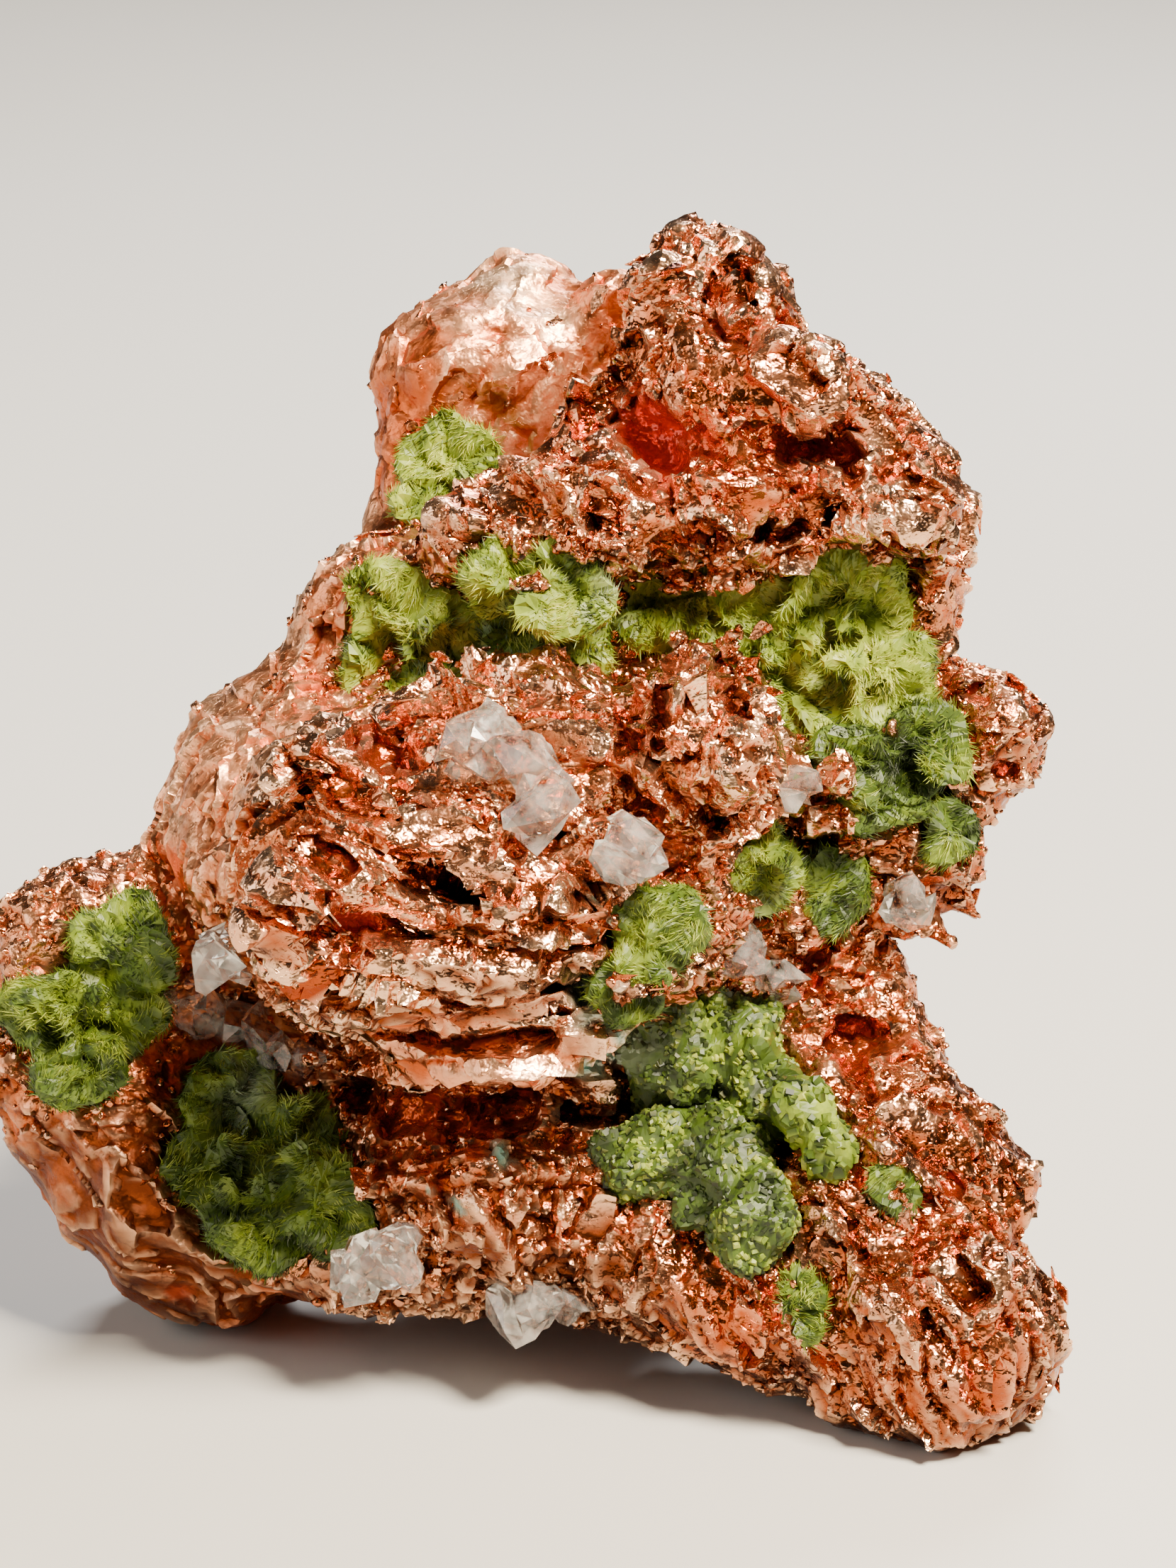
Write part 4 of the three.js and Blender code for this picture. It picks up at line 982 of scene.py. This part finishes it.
# Masses that fill only the middle of their pocket, and how much of it
SMALL = {"epidote_foot_upper": 0.6, "epidote_foot_lower": 0.65, "epidote_right_edge": 0.8,
         "epidote_crystals_by_cluster": 0.85}
for name in epidote_nodes:
    shape, shape_faces, per_mm2, thick, long, splay = STOUT.get(name, SPRAYS)
    form = shape_in_mm(name)
    if name in SMALL:
        centre = points_of(form).mean(axis=0)
        set_points(form, centre + SMALL[name] * (points_of(form) - centre))
    budded = bmesh.new()
    budded.from_mesh(form)
    buds = int(BUDS_PER_MM2 * sum(polygon.area for polygon in form.polygons))
    for spot, way in zip(*seeds(form, buds, draw)[:2]):
        radius = draw.uniform(0.3, 0.7)
        sunk_in = Matrix.Translation(Vector(spot - 0.55 * radius * way))
        bmesh.ops.create_icosphere(budded, subdivisions=1, radius=radius, matrix=sunk_in)
    budded.to_mesh(form)
    budded.free()
    body = modified(
        form,
        ("REMESH", {"mode": "VOXEL", "voxel_size": BODY_STEP}),
        ("SMOOTH", {"factor": 0.5, "iterations": 3}),
    )
    rested = points_of(body)
    outward = OUT if np.average(to_face(rested)[:, 2]) > -4 else -OUT
    proud = ramp(normals_of(body) @ outward, 0.1, 0.8)
    round_top = domed(shards(rested, LUMP, 31.0)[0], LUMP)
    fine_top = domed(shards(rested, GRAIN, 32.0)[0], GRAIN)
    sunken = SUNKEN.get(name, FLUSH)
    lift = 0.35 - sunken * proud + 0.45 * (round_top - 0.7) + 0.2 * (fine_top - 0.7)
    sway = [0.6 * swell(rested, 1.7, salt)[:, None] for salt in (41.0, 42.0)]
    raised = rested + normals_of(body) * lift[:, None] + sway[0] * RIGHT + sway[1] * UP
    set_points(body, keep_in_box(raised, [name, "copper"]))
    area = sum(polygon.area for polygon in body.polygons)
    at, facing = seeds(body, int(area * per_mm2), draw)[:2]
    clear_of_metal = []
    for spot, way in zip(at, facing):
        hit = skin_tree.ray_cast(Vector(spot + way * 0.05), Vector(way), 0.8)
        clear_of_metal.append(hit[0] is None or Vector(way).dot(hit[1]) < 0)
    at, facing = at[clear_of_metal], facing[clear_of_metal]
    count = len(at)
    tuft_lot = shards(at, TUFT, 33.0)[1][:, 0]
    swirl = np.stack([swell(at, TUFT, salt) for salt in (51.0, 52.0, 53.0)], axis=1)
    swirl = unit(swirl - facing * np.sum(swirl * facing, axis=1, keepdims=True))
    up = unit(0.5 * facing + splay * swirl + 0.3 * draw.normal(size=(count, 3)))
    run = unit(np.cross(up, draw.normal(size=(count, 3))))
    axes = np.stack([run, np.cross(up, run), up], axis=1)
    size = np.concatenate([thick * draw.uniform(0.7, 1.5, (count, 2)),
                           long * (0.3 + 0.7 * draw.random((count, 1)) ** 1.5)], axis=1)
    bristle = planted(shape[None] * size[:, None, :], shape_faces, at - 0.05 * facing, axes)
    cloudy = 0.7 * swell(at, 1.3, 54.0) + 0.5 * swell(at, 0.5, 55.0) + 0.5 * (tuft_lot - 0.5)
    high = np.clip(0.45 + cloudy, 0, 1)
    pale = PALENESS.get(name, 0.0)
    own = np.repeat(pale + 0.42 * high - 0.2 + draw.uniform(-0.08, 0.1, count), len(shape))
    # Painted shade: each crystal is darker at its root and paler at its tip.
    own += np.tile(0.16 * (shape[:, 2] - 0.5), count)
    # Painted glints: a few crystal tips, most where the mass is paler, are coloured pale
    # yellow-green.
    glint = 0.5 * high * draw.random(count) ** 3
    at_tip = np.tile(shape[:, 2] > 0.5, count) * np.repeat(glint, len(shape))
    merged = bmesh.new()
    merged.from_mesh(body)
    merged.from_mesh(bristle)
    whole = bpy.data.meshes.new(name)
    merged.to_mesh(whole)
    merged.free()
    # Painted shade: the body is darker in the hollows between its lumps.
    painted_hollow_shade = np.clip(1.4 * (0.75 - round_top) + 0.8 * (0.75 - fine_top), 0, 1)
    set_values(whole, "tone", np.concatenate([pale - 0.25 * painted_hollow_shade, own]))
    set_values(whole, "tip", np.concatenate([np.zeros(len(body.vertices)), at_tip]))
    frosty = np.concatenate([np.full(len(body.vertices), 0.3),
                             np.repeat(draw.random(count), len(shape))])
    set_values(whole, "frost", frosty * near_spots(to_face(points_of(whole)), FROST))
    place_piece(name + "_mass", whole, epidote, [name])


# Quartz
# Clear to milky broken crystals between the metal and the epidote. Each mass is a heap of splinters
# grown into one, with glassy broken faces that let the light through and veils that dull them.
quartz_nodes = [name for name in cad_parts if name.startswith("quartz")]
quartz, tree, out = material_named("quartz")
where = add(tree, "ShaderNodeTexCoord")
in_mm = add(tree, "ShaderNodeVectorMath", {"operation": "SCALE", "Scale": 1 / MM},
            {0: where.outputs["Object"]})
veil = add(tree, "ShaderNodeTexNoise", {"Scale": 1 / 0.9, "Detail": 5.0, "Roughness": 0.65},
           {"Vector": in_mm.outputs[0]})
clear = add(tree, "ShaderNodeMapRange", {"From Min": 0.35, "From Max": 0.65, "To Min": 1.0,
                                         "To Max": 0.75}, {"Value": veil.outputs["Fac"]})
dull = add(tree, "ShaderNodeMapRange", {"From Min": 0.35, "From Max": 0.65, "To Min": 0.0,
                                        "To Max": 0.2}, {"Value": veil.outputs["Fac"]})
crystal = add(tree, "ShaderNodeBsdfPrincipled", {"Base Color": colour("#E8E3DA"), "IOR": 1.544},
              {"Transmission Weight": clear.outputs[0], "Roughness": dull.outputs[0]})
tree.links.new(crystal.outputs[0], out.inputs["Surface"])
SPLINTERS_PER_MM2 = 0.7
SPLINTER_LENGTH = (0.6, 1.5)
SPLINTER_POINTS = 11
SPLINTER_SHAPE = np.array([0.8, 0.65, 1.1])
FACETS_PER_MM2 = 5
JOIN_STEP = 0.1
for name in quartz_nodes:
    form = shape_in_mm(name)
    area = sum(polygon.area for polygon in form.polygons)
    cluster = bmesh.new()
    outward = OUT if np.average(to_face(points_of(form))[:, 2]) > -4 else -OUT
    for spot, way in zip(*seeds(form, int(area * SPLINTERS_PER_MM2), draw)[:2]):
        long = draw.uniform(*SPLINTER_LENGTH)
        axis = unit(way + 0.9 * draw.normal(size=3))
        run = unit(np.cross(axis, draw.normal(size=3)))
        turn = np.array([run, np.cross(axis, run), axis])
        corners = unit(draw.normal(size=(SPLINTER_POINTS, 3))) * long * SPLINTER_SHAPE
        middle = spot - 0.8 * long * way - 0.7 * max(0.0, way @ outward) * outward
        hull = [cluster.verts.new(point) for point in corners @ turn + middle]
        made = bmesh.ops.convex_hull(cluster, input=hull)
        spare = {item for item in made["geom_interior"] if isinstance(item, bmesh.types.BMVert)}
        bmesh.ops.delete(cluster, geom=list(spare), context="VERTS")
    heap = bpy.data.meshes.new(name)
    cluster.to_mesh(heap)
    cluster.free()
    joined = modified(heap, ("REMESH", {"mode": "VOXEL", "voxel_size": JOIN_STEP}))
    facets = FACETS_PER_MM2 * sum(polygon.area for polygon in joined.polygons)
    share = facets / (len(joined.loops) - 2 * len(joined.polygons))
    whole = modified(joined, ("DECIMATE", {"ratio": share, "use_collapse_triangulate": True}))
    set_points(whole, keep_in_box(points_of(whole), [name], 0.3))
    place_piece(name + "_crystals", whole, quartz, [name])
